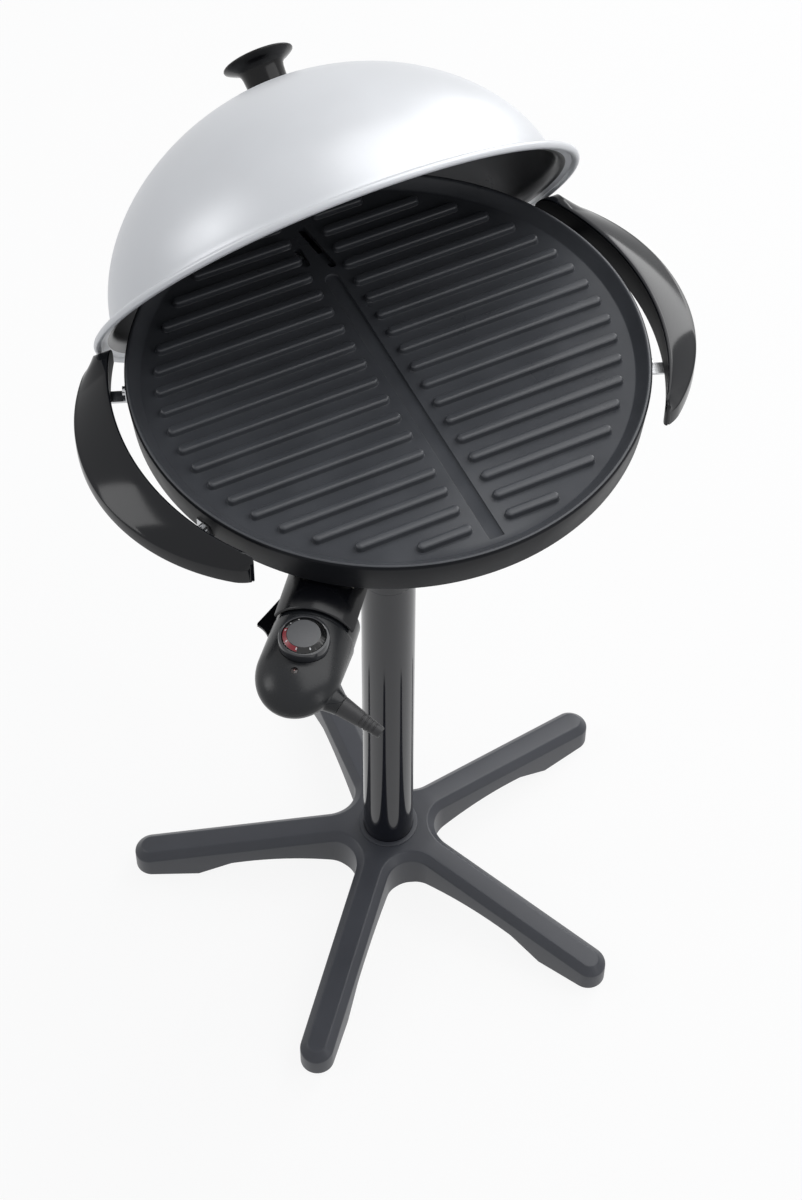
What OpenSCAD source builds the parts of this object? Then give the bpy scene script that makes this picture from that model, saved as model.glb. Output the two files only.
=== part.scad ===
// Electric stand grill with a domed lid: a five-legged base and a pole carry a round
// ribbed grill plate with an element under it, crescent handles and a plug-in thermostat.
// Origin on the floor under the pole's axis; X to the right, Y to the back, Z up.

/* [Grill plate] */
// Height of the plate's rim above the floor
plate_h = 790; // [760:1:820]
// Outer radius of the rim
rim_r = 220; // [214:1:226]
// Width of the flat top of the rim
rim_w = 4; // [3:0.5:5]
// Depth from the rim down to the cooking floor
pan_depth = 10; // [9:0.5:12]
// Width of the slope between the rim and the floor
pan_slope = 10; // [8:0.5:12]
// Thickness of the floor
floor_t = 5; // [4:0.5:6]
// Height of the skirt under the rim
skirt_h = 32; // [30:1:34]
// Wall of the skirt
skirt_t = 3; // [2.5:0.1:3.5]
// How far the skirt leans inwards over its height
skirt_lean = 3; // [2:0.5:4]
// Height of a rib above the floor
rib_h = 5.5; // [4:0.5:6.5]
// Width of a rib
rib_w = 10; // [8:0.5:12]
// Distance from one rib to the next
rib_pitch = 21.8; // [20:0.1:24]
// Number of rib rows
rib_rows = 18; // [10:2:18]
// Gap between the ribs' outer ends and the rim
rib_margin = 24; // [20:1:30]
// Half the bare strip along the middle, from the axis to the ribs' ends
rib_start = 14.5; // [13:0.5:18]
// Width of the fat channel along the middle
channel_w = 13.6; // [11:0.2:14]
// Depth of the fat channel
channel_depth = 2.2; // [1:0.1:3]
// Distance from the axis to the channel's back end
channel_back = 117; // [100:1:117]
// Width of a drain slot
slot_w = 7; // [5:0.5:7.5]
// Length of the long drain slot
slot_long = 56; // [40:1:60]
// Length of the short drain slot
slot_short = 24; // [16:1:30]
// Distance from the axis to the middle of the drain slots
slot_mid = 151; // [148:1:153]

/* [Lid] */
// How far the lid leans back when it stands open, in degrees
lid_open = 59.7; // [50:0.1:62]
// How far behind the pole's axis the closed lid lies
lid_back = 58; // [57:0.5:60]
// Thickness of the lid's sheet
lid_t = 1.2; // [1:0.1:1.8]
// Height of the dome above the rim's underside
lid_h = 158.2; // [145:0.1:165]
// Difference between the lid's rim and the dome's foot
brim_w = 18.9; // [17:0.1:21]
// Exponent of the dome's curve
dome_power = 1.91; // [1.85:0.01:2.1]
// Thickness of the rolled edge
bead_d = 7; // [5:0.5:8]
// Radius of the knob's disc
knob_r = 31.4; // [26:0.2:34]
// Height of the knob
knob_h = 31; // [28:0.5:36]
// Radius of the knob's stem at its foot
stem_r = 18; // [15:0.5:20]

/* [Handles] */
// Gap between the plate's rim and a handle
handle_gap = 13; // [11:0.5:15]
// Width of a handle at its middle
handle_w = 37; // [34:0.5:43]
// Radius of a handle's outer outline
handle_arc_r = 175; // [172:1:180]
// Distance from the pole's axis to the front tips
handle_front = 144; // [140:1:150]
// How far the outer edge lies under the rim
handle_drop = 18; // [14:0.5:20]
// Height of a handle
handle_h = 29; // [26:0.5:30]
// Wall of a handle
handle_t = 3; // [2.5:0.1:3.5]
// Radius of the nose that the lid rocks on
nose_r = 18.6; // [17:0.1:19]
// Distance from the pole's axis back to the centre of the nose
nose_y = 101; // [100:0.5:104]
// Distance from the middle to each handle strap, along Y
strap_y = 80; // [70:1:84]
// Width of a strap
strap_w = 12; // [10:0.5:14]
// Thickness of a strap
strap_t = 2; // [1.5:0.1:2.5]

/* [Stand] */
// Radius of the pole
pole_r = 25.5; // [23:0.5:28]
// Wall of the pole
pole_t = 1.2; // [1:0.1:2]
// Height of the joint between the two pole tubes
pole_joint_z = 495; // [440:5:520]
// Distance from the axis to a leg's tip
leg_reach = 266; // [240:1:280]
// Half the width of a leg
leg_hw = 17.1; // [15:0.1:18]
// Size of the slanted edge along a leg
leg_bevel = 7.3; // [5:0.1:8]
// Height of the hub's top
hub_z = 70; // [66:1:74]
// Height of a leg's top at its tip
tip_z = 32; // [28:1:36]
// Radius of the fillet between two legs
leg_fillet = 27; // [22:1:30]
// Wall of the hollow legs
leg_t = 3; // [2.5:0.1:4]
// Thickness of a foot pad
pad_t = 2.5; // [2:0.1:3]

/* [Head] */
// Outer radius of the housing under the plate
housing_r = 190; // [185:1:194]
// Depth of the housing under the plate's skirt
housing_depth = 28; // [26:1:30]
// Wall of the housing
housing_t = 2.5; // [2:0.1:3]
// Outer radius of the socket on the pole
socket_r = 31; // [30:0.5:34]
// How far the pole reaches into the socket
socket_depth = 67; // [50:1:80]
// Half the width of the drip tray
tray_hw = 46; // [40:1:50]
// Length of the drip tray from front to back
tray_len = 92; // [88:1:93]
// Height of the drip tray
tray_h = 18; // [14:0.5:19]
// Wall of the drip tray
tray_t = 1.5; // [1:0.1:2]

/* [Thermostat] */
// Direction of the thermostat, in degrees from the X axis
control_az = -130; // [-135:1:-125]
// Distance from the pole's axis to the shroud's outer edge
shroud_end = 241; // [239:1:242]
// Outer radius of the shroud's arch
shroud_r = 37.2; // [36.5:0.1:38]
// Thickness of the shroud
shroud_t = 2.5; // [2:0.1:2.8]
// Height of the shroud's sides
shroud_side = 20; // [18:0.5:21]
// Distance from the pole's axis to the thermostat's outer end
control_end = 327; // [324:1:330]
// Half the width of the thermostat
control_hw = 34.5; // [34:0.5:36]
// Height of the thermostat's rounded end
control_h = 42; // [40:0.5:44]
// Wall of the thermostat
control_t = 2.4; // [2:0.1:2.8]
// Radius of the dial
dial_r = 17.6; // [15:0.1:18]
// Height of the dial above its seat
dial_h = 13.7; // [11:0.1:15]
// Thickness of the ring around the dial
dial_ring_t = 2.5; // [2:0.1:3]
// Radius of the two terminal pins
pin_r = 2.5; // [2:0.1:3]
// Distance from the middle to each terminal pin
pin_y = 11; // [10.5:0.1:12]
// Radius of the temperature probe
probe_r = 2.5; // [2:0.1:3]
// Radius of the heating element's sheath
element_r = 4; // [3.5:0.1:4.5]
// Radius of the heating element's ring
element_ring_r = 140; // [120:1:144]
// Length of the strain relief
boot_len = 38; // [30:1:44]
// Radius of the strain relief at its root
boot_r = 8.5; // [7.5:0.1:8.8]

/* [Hidden] */
$fn = 96;

e = 0.05;              // overlap of joined shapes inside one piece
run_gap = 0.3;         // gap between bodies that move against each other
slide_gap = 0.05;      // radial clearance of a running fit

// Grill plate
pan_floor_z = plate_h - pan_depth;
pan_under_z = pan_floor_z - floor_t;
pan_floor_r = rim_r - rim_w - pan_slope;
skirt_z = plate_h - skirt_h;
skirt_r = rim_r - skirt_lean;
skirt_in_r = skirt_r - skirt_t;
rim_edge = 3;          // slanted outer edge of the rim
rib_out_r = rim_r - rib_margin;
slot_left_x = -13;
slot_right_x = 4;
slot_turn = 8;         // lean of the long slot towards the channel, in degrees
ridge_w = 14;          // cast ridge that holds the element
ridge_h = 6;
element_z = pan_under_z - ridge_h;
cold_extra = 0.4;      // thicker sheath of the cold ends
block_in = 176;        // terminal block, from the axis
block_out = 206;
block_hw = 24;
block_z = skirt_z - 1;
block_h = 34;
strap_pad_out = 1.6;   // how far the strap pads stand out of the skirt
strap_pad_hw = 8;
strap_az = asin(strap_y / skirt_r);
pad_face_r = skirt_r + strap_pad_out;

// Lid and its rocking seat
lid_gap = run_gap;
lid_r = rim_r - 0.2;
dome_r = lid_r - brim_w;
nose_z = plate_h - nose_r;
lid_back_rel = lid_back - nose_y;
lid_up_rel = nose_r + lid_gap;
bead_r = bead_d / 2;
bead_mid_r = lid_r - bead_r;
brim_foot = 16;        // height at which the dome turns into the brim
knob_seat_r = 21;
knob_screw_r = 2.4;
washer_t = 1.2;
dome_steps = 22;
bead_steps = 16;
function dome_z(r) = lid_h * pow(1 - pow(r / dome_r, dome_power), 1 / dome_power);
function dome_rad(z) = dome_r * pow(1 - pow(z / lid_h, dome_power), 1 / dome_power);
seat_z = dome_z(knob_seat_r);
dome_foot_r = dome_rad(brim_foot);

// Handles
handle_in_r = rim_r + handle_gap;
handle_reach = handle_in_r + handle_w;
handle_arc_x = handle_reach - handle_arc_r;
handle_low_z = plate_h - handle_h;
handle_rear = nose_y + nose_r;
handle_lip = 3;
rest_x = bead_mid_r - 1.5; // the lid's edge meets the noses near this X
tip_round = 8;
tip_rise = 5;          // how much the outer edge rises towards the front tip
handle_steps = 44;
handle_in_tab_r = handle_in_r + handle_t;

// Stand
star_n = 5;
star_az = 155.7;
tip_r = leg_reach - leg_hw;
slope_start = 50;      // where the legs start to fall from the hub
leg_fall = (hub_z - tip_z) / (leg_reach - slope_start);
leg_angle = atan(leg_fall);
function leg_top(x) = hub_z - (x - slope_start) * leg_fall;
fillet_d = (leg_fillet + leg_hw) / sin(180 / star_n);
fillet_along = fillet_d * cos(180 / star_n);
hollow_from = fillet_along + 4;
web_r = leg_fillet + 0.15; // cuts just past the tangent, so the web ends on the leg's side
foot_in = leg_reach - 66;    // flat foot from here to the tip
arch_out = foot_in - 35;
arch_mid = 105;
arch_top = 28.5;
arch_r = 260;
arch_out_z = arch_top - arch_r + sqrt(pow(arch_r, 2) - pow(arch_out - arch_mid, 2));
hub_under_z = arch_out_z;  // flat underside of the hub
hub_floor_z = hub_under_z + 7;
hub_ring_r = pole_r + 5;
hub_ring_h = 1.5;
hub_core_r = pole_r + 4.5;     // tube in the middle of the hub
bolt_r = 4;
bolt_head_r = 7.5;
pole_top_z = skirt_z - 36;
sleeve_len = 100;

// Head
housing_floor_z = skirt_z - housing_depth;
housing_top_z = skirt_z - run_gap;
flange_r = skirt_r - 4;
flange_in_r = housing_r + 6;
flange_t = 3;
socket_top_z = housing_floor_z;
socket_stop_z = pole_top_z + run_gap;
socket_low_z = pole_top_z - socket_depth;
socket_flange_r = 62;
socket_flange_t = 5;
socket_bolt_r = 48;
screw_r = 2;
screw_head_r = 4;
screw_head_t = 2.4;
tray_front = 96;
tray_z = housing_floor_z + housing_t + run_gap;
tray_port_h = tray_h + 2;
notch_in = 152;        // the housing is open under the terminal block from here
notch_hw = 42;

// Shroud's sides start behind its back wall; the guard is a flat plate with a wing on one side
shroud_in = block_out - 15;
guard_in = block_out - 6;
guard_out = shroud_end - 0.8;
guard_side = 24;
guard_web = 22;
guard_wing = 40;
guard_corner = [229.6, 51.2];
guard_sweep = 20;              // radius of the wing's hollow front edge

// Thermostat
control_z = skirt_z - 31.5;    // middle of the rounded body
pin_z = skirt_z - 22;
arch_mid_z = skirt_z - 4 - shroud_r;
neck_r = shroud_r - shroud_t - 1.2;
neck_in = 222;
guard_z = arch_mid_z - 13.8 - shroud_t; // runs just under the thermostat
split_z = control_z;
dial_x = 268.5;
dial_seat_z = control_z + 17.5;
pin_out = 262;
sleeve_in = 243;
body_low = 18;                 // depth of the neck below the middle of the arch
body_step = 0.8;               // the body stands this much proud of the neck
lens_x = 297;
lens_r = 3;
spout_dir = [0.277, 0.923, -0.264];
spout_at = [301.5, 39, control_z - 8.5];
spout_back = 22;
spout_r = 9;
boot_end_r = 4.6;
boot_bore_r = 3.4;
boot_bore_len = 26;
control_mid = control_end - 42;
case_screw_r = 1.8;
strap_screw_z = skirt_z + 9;
strap_z = handle_low_z - 0.5 - strap_t;
strap_out_r = handle_in_tab_r + 1;
knob_foot_z = seat_z + washer_t;
disc_z = knob_foot_z + knob_h - 5;

module at_control() {
    rotate([0, 0, control_az]) children();
}

module at_legs() {
    for (i = [0 : star_n - 1]) rotate([0, 0, star_az + i * 360 / star_n]) children();
}

// A shape's children, laid with their Z axis along X
module along_x(x0, y, z) {
    translate([x0, y, z]) rotate([0, 90, 0]) children();
}

// ---- stand ----

// Cross-section of a leg, hung from its top line: x across, y up
module leg_section() {
    w = leg_hw;
    b = leg_bevel;
    polygon([[-w, -90], [w, -90], [w, -b], [w - b, 0], [-w + b, 0], [-w, -b]]);
}

// A leg's outer form along +X with its rounded, slanted end
module leg_bar() {
    len = (tip_r - slope_start) / cos(leg_angle);
    translate([slope_start, 0, hub_z]) rotate([0, leg_angle, 0]) {
        translate([-slope_start, 0, 0]) rotate([90, 0, 90])
            linear_extrude(len + slope_start) leg_section();
        translate([len, 0, 0]) rotate_extrude() polygon([[0, -90], [leg_hw, -90],
            [leg_hw, -leg_bevel], [leg_hw - leg_bevel, 0], [0, 0]]);
    }
}

// Side view of the space under a leg: the arch and the notch before the foot
module leg_under() {
    difference() {
        polygon([[-80, -80], [leg_reach + 40, -80], [leg_reach + 40, pad_t], [foot_in, pad_t],
            [foot_in + (foot_in - arch_out) * (pad_t - 2 * arch_top) / (arch_out_z - pad_t),
                2 * arch_top], [-80, 2 * arch_top]]);
        difference() {
            translate([-100, hub_under_z - 4]) square([2 * leg_reach, 4 * arch_top]);
            translate([arch_mid, arch_top - arch_r]) circle(arch_r, $fn = 240);
        }
    }
}

module leg_cut() {
    rotate([90, 0, 0]) linear_extrude(4 * leg_hw, center = true) leg_under();
}

// The web between two legs, with the slanted edge round the fillet
module web() {
    half = 180 / star_n;
    rotate([0, 0, half]) difference() {
        linear_extrude(hub_z + 2) polygon([[0, 0],
            [fillet_along * cos(half) + leg_hw * sin(half),
                -fillet_along * sin(half) + leg_hw * cos(half)],
            [fillet_along * cos(half) + leg_hw * sin(half),
                fillet_along * sin(half) - leg_hw * cos(half)]]);
        translate([fillet_d, 0, 0]) rotate_extrude() polygon([[0, -1], [web_r, -1],
            [web_r, hub_z - leg_bevel], [web_r + leg_bevel + 3, hub_z + 3],
            [0, hub_z + 3]]);
    }
}

// One leg, hollow and open below, with a closed floor over its foot pad
module leg() {
    difference() {
        leg_bar();
        leg_cut();
        rotate([90, 0, 0]) linear_extrude(2 * (leg_hw - leg_t), center = true)
            polygon([[hollow_from, -5], [foot_in + 4, -5], [foot_in + 4, pad_t + leg_t],
                [tip_r, pad_t + leg_t], [tip_r, leg_top(tip_r) - leg_bevel],
                [hollow_from, leg_top(hollow_from) - leg_bevel]]);
    }
}

module base_star() {
    color([0.27, 0.28, 0.30]) difference() {
        union() {
            difference() {
                union() {
                    difference() {
                        at_legs() leg();
                        cylinder_at_hub(hub_core_r, -1, 2 * hub_z);
                    }
                    difference() {
                        at_legs() web();
                        cylinder_at_hub(hub_core_r, -1, 2 * hub_z);
                    }
                    // tube round the pole's foot
                    cylinder_at_hub(hub_core_r + 5, hub_under_z - 5, hub_z);
                }
                cylinder_at_hub(leg_reach, hub_z, 60);
                cylinder_at_hub(2 * fillet_d, -1, hub_under_z + 1);
            }
            cylinder_at_hub(hub_ring_r, hub_z - 1, hub_ring_h + 1);
        }
        cylinder_at_hub(pole_r, hub_floor_z, hub_z);
        cylinder_at_hub(bolt_r + run_gap, 0, hub_z);
    }
}

module cylinder_at_hub(r, z, h) {
    translate([0, 0, z]) cylinder(h = h, r = r);
}

module foot_pads() {
    color([0.12, 0.12, 0.12]) at_legs() intersection() {
        linear_extrude(pad_t) {
            translate([tip_r, 0]) circle(leg_hw - leg_t);
            translate([foot_in + leg_hw, 0]) circle(leg_hw - leg_t);
            translate([foot_in + leg_hw, -leg_hw + leg_t])
                square([tip_r - foot_in - leg_hw, 2 * (leg_hw - leg_t)]);
        }
        cylinder(h = pad_t, r = 2 * leg_reach);
    }
}

module tube(r, t, z, h) {
    translate([0, 0, z]) difference() {
        cylinder(h = h, r = r);
        translate([0, 0, -1]) cylinder(h = h + 2, r = r - t);
    }
}

module pole_lower() {
    color([0.05, 0.05, 0.06]) tube(pole_r, pole_t, hub_floor_z, pole_joint_z - hub_floor_z);
}

module pole_upper() {
    color([0.05, 0.05, 0.06]) tube(pole_r, pole_t, pole_joint_z, pole_top_z - pole_joint_z);
}

module pole_sleeve() {
    color([0.5, 0.5, 0.5]) tube(pole_r - pole_t, 2 * pole_t, pole_joint_z - sleeve_len / 2,
        sleeve_len);
}

// Plug welded in the pole's foot, threaded for the bolt
module pole_plug() {
    color([0.5, 0.5, 0.5]) difference() {
        cylinder_at_hub(pole_r - pole_t, hub_floor_z, 18);
        cylinder_at_hub(bolt_r, hub_floor_z - 1, 40);
    }
}

module base_washer() {
    color([0.75, 0.75, 0.77]) difference() {
        cylinder_at_hub(bolt_head_r + 5, hub_under_z - 2, 2);
        cylinder_at_hub(bolt_r + run_gap, hub_under_z - 3, 4);
    }
}

module base_bolt() {
    color([0.7, 0.7, 0.72]) {
        cylinder_at_hub(bolt_head_r, hub_under_z - 7, 5);
        cylinder_at_hub(bolt_r, hub_under_z - 2 - e, hub_floor_z - hub_under_z + 18 + e);
    }
}

// ---- head ----

module pole_socket() {
    color([0.1, 0.1, 0.1]) difference() {
        union() {
            cylinder_at_hub(socket_r, socket_low_z, socket_top_z - socket_low_z);
            cylinder_at_hub(socket_flange_r, socket_top_z - socket_flange_t, socket_flange_t);
            for (a = [0 : 60 : 300]) rotate([0, 0, a]) translate([0, 2, socket_top_z - socket_flange_t])
                rotate([90, 0, 0]) linear_extrude(4) polygon([[socket_r - 1, e],
                    [socket_flange_r - 4, e], [socket_r - 1, -30]]);
        }
        cylinder_at_hub(pole_r + run_gap, socket_low_z - 1, socket_stop_z - socket_low_z + 1);
        for (a = [30 : 60 : 330]) rotate([0, 0, a])
            translate([socket_bolt_r, 0, socket_top_z - socket_flange_t - 1])
                cylinder(h = socket_flange_t + 2, r = screw_r);
    }
}

module socket_screws() {
    color([0.7, 0.7, 0.72]) for (a = [30 : 60 : 330]) rotate([0, 0, a])
        translate([socket_bolt_r, 0, socket_top_z - socket_flange_t]) {
            translate([0, 0, -screw_head_t]) cylinder(h = screw_head_t + e, r = screw_head_r);
            cylinder(h = socket_flange_t + housing_t, r = screw_r);
        }
}

// Shallow pan under the plate: it carries the plate on its flange and the drip tray on its floor
module housing() {
    color([0.08, 0.08, 0.08]) difference() {
        rotate_extrude($fn = 180) polygon([[0, housing_floor_z], [housing_r - 6, housing_floor_z],
            [flange_in_r, housing_top_z - flange_t], [flange_r, housing_top_z - flange_t],
            [flange_r, housing_top_z], [flange_in_r - housing_t, housing_top_z],
            [housing_r - 6 - housing_t, housing_floor_z + housing_t],
            [0, housing_floor_z + housing_t]]);
        for (a = [30 : 60 : 330]) rotate([0, 0, a])
            translate([socket_bolt_r, 0, housing_floor_z - 1])
                cylinder(h = housing_t + 2, r = screw_r);
        at_control() translate([notch_in, -notch_hw, housing_floor_z - 1])
            cube([flange_r, 2 * notch_hw, housing_depth + 2]);
        translate([-tray_hw - 2, tray_front + tray_len / 2, housing_floor_z + housing_t])
            cube([2 * tray_hw + 4, flange_r, tray_port_h]);
    }
}

module drip_tray() {
    r = 8;
    color([0.75, 0.76, 0.78]) translate([0, 0, tray_z]) difference() {
        union() {
            linear_extrude(tray_h) tray_plan(0, r);
            // lip to pull it out by
            translate([-18, tray_front + tray_len - e, tray_h - 2]) cube([36, 10, 2]);
        }
        translate([0, 0, tray_t]) linear_extrude(tray_h) tray_plan(tray_t, r - tray_t);
    }
}

module tray_plan(inset, r) {
    x = tray_hw - inset - r;
    y0 = tray_front + inset + r;
    y1 = tray_front + tray_len - inset - r;
    for (sx = [-1, 1], y = [y0, y1]) translate([sx * x, y]) circle(r, $fn = 48);
    translate([-x - r, y0]) square([2 * (x + r), y1 - y0]);
    translate([-x, y0 - r]) square([2 * x, y1 - y0 + 2 * r]);
}

// ---- grill plate ----

// A rib from x0 to x1 at height y, with round ends
module rib(x0, x1, y) {
    r = rib_w / 2;
    translate([0, y, pan_floor_z - e]) linear_extrude(rib_h + e) {
        translate([x0 + r, 0]) circle(r, $fn = 32);
        translate([x1 - r, 0]) circle(r, $fn = 32);
        translate([x0 + r, -r]) square([x1 - x0 - 2 * r, rib_w]);
    }
}

module slot(x, y, len, turn) {
    translate([x, y, pan_under_z - ridge_h]) rotate([0, 0, turn]) linear_extrude(40) {
        translate([0, len / 2 - slot_w / 2]) circle(slot_w / 2, $fn = 32);
        translate([0, -len / 2 + slot_w / 2]) circle(slot_w / 2, $fn = 32);
        translate([-slot_w / 2, -len / 2 + slot_w / 2]) square([slot_w, len - slot_w]);
    }
}

module grill_plate() {
    color([0.2, 0.2, 0.21]) difference() {
        union() {
            rotate_extrude($fn = 240) polygon([[0, pan_under_z], [0, pan_floor_z],
                [pan_floor_r, pan_floor_z], [rim_r - rim_w, plate_h - 1], [rim_r - rim_w + 1, plate_h],
                [rim_r - 2, plate_h], [rim_r, plate_h - rim_edge], [skirt_r, skirt_z],
                [skirt_in_r, skirt_z], [skirt_in_r + 1, pan_under_z + 2],
                [pan_floor_r + 4, pan_under_z]]);
            for (i = [0 : rib_rows - 1]) {
                y = (i - (rib_rows - 1) / 2) * rib_pitch;
                x = sqrt(pow(rib_out_r, 2) - y * y);
                if (x - rib_start > 2 * rib_w) {
                    rib(rib_start, x, y);
                    rib(-x, -rib_start, y);
                }
            }
            // ridge cast round the element
            rotate_extrude($fn = 180) translate([element_ring_r - ridge_w / 2, element_z + 0.5])
                square([ridge_w, ridge_h - 0.5 + e]);
            // boss that the terminal block is screwed to
            at_control() translate([block_in, -block_hw, block_z])
                cube([block_out - block_in, 2 * block_hw, pan_under_z - block_z + e]);
            for (s = [-1, 1], a = [-1, 1]) rotate([0, 0, (s > 0 ? 0 : 180) + a * strap_az])
                translate([skirt_in_r, -strap_pad_hw, skirt_z])
                    cube([pad_face_r - skirt_in_r, 2 * strap_pad_hw, 16]);
        }
        // fat channel along the middle
        translate([-channel_w / 2, -pan_floor_r, pan_floor_z - channel_depth])
            cube([channel_w, pan_floor_r + channel_back - channel_w / 2, channel_depth + 1]);
        translate([0, channel_back - channel_w / 2, pan_floor_z - channel_depth])
            cylinder(h = channel_depth + 1, d = channel_w);
        slot(slot_left_x, slot_mid - 6, slot_short, 0);
        slot(slot_right_x, slot_mid, slot_long, slot_turn);
        // groove of the element
        element_path(element_r);
        // screw holes of the straps and of the terminal block
        at_straps() along_x(skirt_in_r - 1, 0, strap_screw_z) cylinder(h = 30, r = screw_r);
        at_block_screws() translate([0, 0, block_z - 1]) cylinder(h = 13, r = screw_r);
    }
}

module at_straps() {
    for (s = [-1, 1], a = [-1, 1]) rotate([0, 0, (s > 0 ? 0 : 180) + a * strap_az]) children();
}

module at_block_screws() {
    at_control() for (s = [-1, 1]) translate([(block_in + block_out) / 2, s * (block_hw - 5), 0])
        children();
}

// Sheathed element: a ring, two thicker cold ends towards the terminal block and a drop
// from each to its pin
module element_path(r) {
    open = asin(pin_y / element_ring_r);
    end_x = block_in - 8;
    translate([0, 0, element_z]) rotate([0, 0, control_az + open])
        rotate_extrude(angle = 360 - 2 * open, $fn = 180) translate([element_ring_r, 0])
            circle(r, $fn = 32);
    at_control() for (s = [-1, 1]) {
        x = sqrt(pow(element_ring_r, 2) - pow(pin_y, 2));
        cold_end = r + cold_extra + 0.2;
        along_x(x - cold_end, s * pin_y, element_z)
            cylinder(h = end_x - x + 2 * cold_end, r = r + cold_extra, $fn = 32);
        translate([end_x, s * pin_y, pin_z - r])
            cylinder(h = element_z - pin_z + r, r = r, $fn = 32);
    }
}

module heating_element() {
    color([0.35, 0.33, 0.32]) element_path(element_r);
}

// Insulating block that holds the pins and guides the probe
module terminal_block() {
    color([0.85, 0.83, 0.78]) difference() {
        at_control() translate([block_in, -block_hw, block_z - block_h])
            cube([block_out - block_in, 2 * block_hw, block_h]);
        at_control() for (s = [-1, 1]) along_x(block_in - 1, s * pin_y, pin_z)
            cylinder(h = block_out - block_in + 2, r = pin_r);
        at_control() along_x(block_in - 1, 0, pin_z)
            cylinder(h = block_out - block_in + 2, r = probe_r + run_gap);
        at_block_screws() translate([0, 0, block_z - block_h - 1])
            cylinder(h = block_h + 2, r = screw_r);
    }
}

module terminal_pins() {
    color([0.8, 0.8, 0.78]) at_control() for (s = [-1, 1]) {
        start = block_in - 8 + element_r - 1;
        along_x(start, s * pin_y, pin_z) cylinder(h = pin_out - pin_r - start, r = pin_r);
        translate([pin_out - pin_r, s * pin_y, pin_z]) sphere(pin_r, $fn = 32);
    }
}

module block_screws() {
    color([0.7, 0.7, 0.72]) at_block_screws() {
        translate([0, 0, block_z - block_h - screw_head_t]) cylinder(h = screw_head_t + e,
            r = screw_head_r);
        translate([0, 0, block_z - block_h]) cylinder(h = block_h + 10, r = screw_r);
    }
}

// Arched cover over the plug-in connection, with the flat guard under it
module socket_shroud() {
    color([0.06, 0.06, 0.07]) at_control() {
        difference() {
            union() {
                along_x(shroud_in, 0, arch_mid_z) linear_extrude(shroud_end - shroud_in)
                    intersection() {
                        circle(shroud_r, $fn = 128);
                        translate([-shroud_r - 1, -shroud_r - 1])
                            square([1 + shroud_side, 2 * shroud_r + 2]);
                    }
                // web that carries the guard
                translate([block_out + 0.5, -guard_web, guard_z + 1])
                    cube([shroud_t + 0.5, 2 * guard_web, pin_z + 4 - guard_z]);
            }
            along_x(block_out + shroud_t, 0, arch_mid_z)
                cylinder(h = shroud_end, r = shroud_r - shroud_t, $fn = 128);
            // behind the back wall the sides run in on both sides of the terminal block
            along_x(shroud_in - 1, 0, arch_mid_z) linear_extrude(block_out - shroud_in + 1) {
                circle(shroud_r - shroud_t, $fn = 128);
                translate([-shroud_r - 1, -block_hw - 0.6])
                    square([shroud_r + 1, 2 * block_hw + 1.2]);
            }
            // the back wall lets the pins and the probe through
            along_x(block_out - 1, 0, pin_z) cylinder(h = shroud_t + 4, r = probe_r + 1);
            for (s = [-1, 1]) along_x(block_out - 1, s * pin_y, pin_z)
                cylinder(h = shroud_t + 4, r = pin_r);
        }
        translate([0, 0, guard_z]) linear_extrude(shroud_t) difference() {
            polygon([[guard_in, guard_side], [guard_in, -guard_wing],
                [guard_corner[0], -guard_corner[1]], [guard_out, -guard_corner[1]],
                [guard_out, guard_side]]);
            translate([guard_out + guard_sweep / 2, -guard_corner[1] - 5.5]) circle(guard_sweep, $fn = 96);
        }
    }
}

// ---- handles ----

function handle_in_x(y) = sqrt(pow(handle_in_r, 2) - y * y);
function handle_out_x(y) = handle_arc_x + sqrt(pow(handle_arc_r, 2) - y * y);
function nose_top(y) = y <= nose_y ? plate_h
    : nose_z + sqrt(max(0, pow(nose_r, 2) - pow(y - nose_y, 2)));
function ease(t) = let (u = min(1, max(0, t))) u * u * (3 - 2 * u);
function lip_w(y) = handle_lip + ease((y - 50) / 30) * max(0, rest_x + 4 - handle_in_x(y) - handle_lip);
function tip_k(y) = y > tip_round - handle_front ? 1
    : sqrt(max(0, 1 - pow((tip_round - handle_front - y) / tip_round, 2)));

// Cross-section at one place along Y: a channel that is open below, and closed at both ends
function handle_section(y, open) = let (
    mid = (handle_in_x(y) + handle_out_x(y)) / 2,
    half = max(1.5, (handle_out_x(y) - handle_in_x(y)) / 2 * tip_k(y)),
    xi = mid - half,
    xo = mid + half,
    zi = nose_top(y),
    zo = min(zi - 0.4, plate_h - handle_drop + (y < 0 ? tip_rise * pow(y / handle_front, 2) : 0)),
    xl = min(xi + lip_w(y), xi + 1.4 * half),
    t = min(handle_t, 0.5 * half),
    zl = handle_low_z,
    zc = open ? zo - 2 - t : zl + 0.5,
    zt = open ? max(zc + 0.3, zi - t - 1) : zl + 1)
    [[xi, zl], [xi, zi - 1], [xi + 0.15 * half, zi], [xl, zi - 0.1],
        [(xl + xo) / 2, (zi + zo) / 2 + 0.06 * half], [xo - 0.1 * half, zo + 0.1],
        [xo, zo - 2], [xo, zl], [xo - t, zl], [xo - t, zc], [max(xl - t / 2, xi + t + 0.2), zt],
        [xi + t, zt], [xi + t, zl]];

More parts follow.
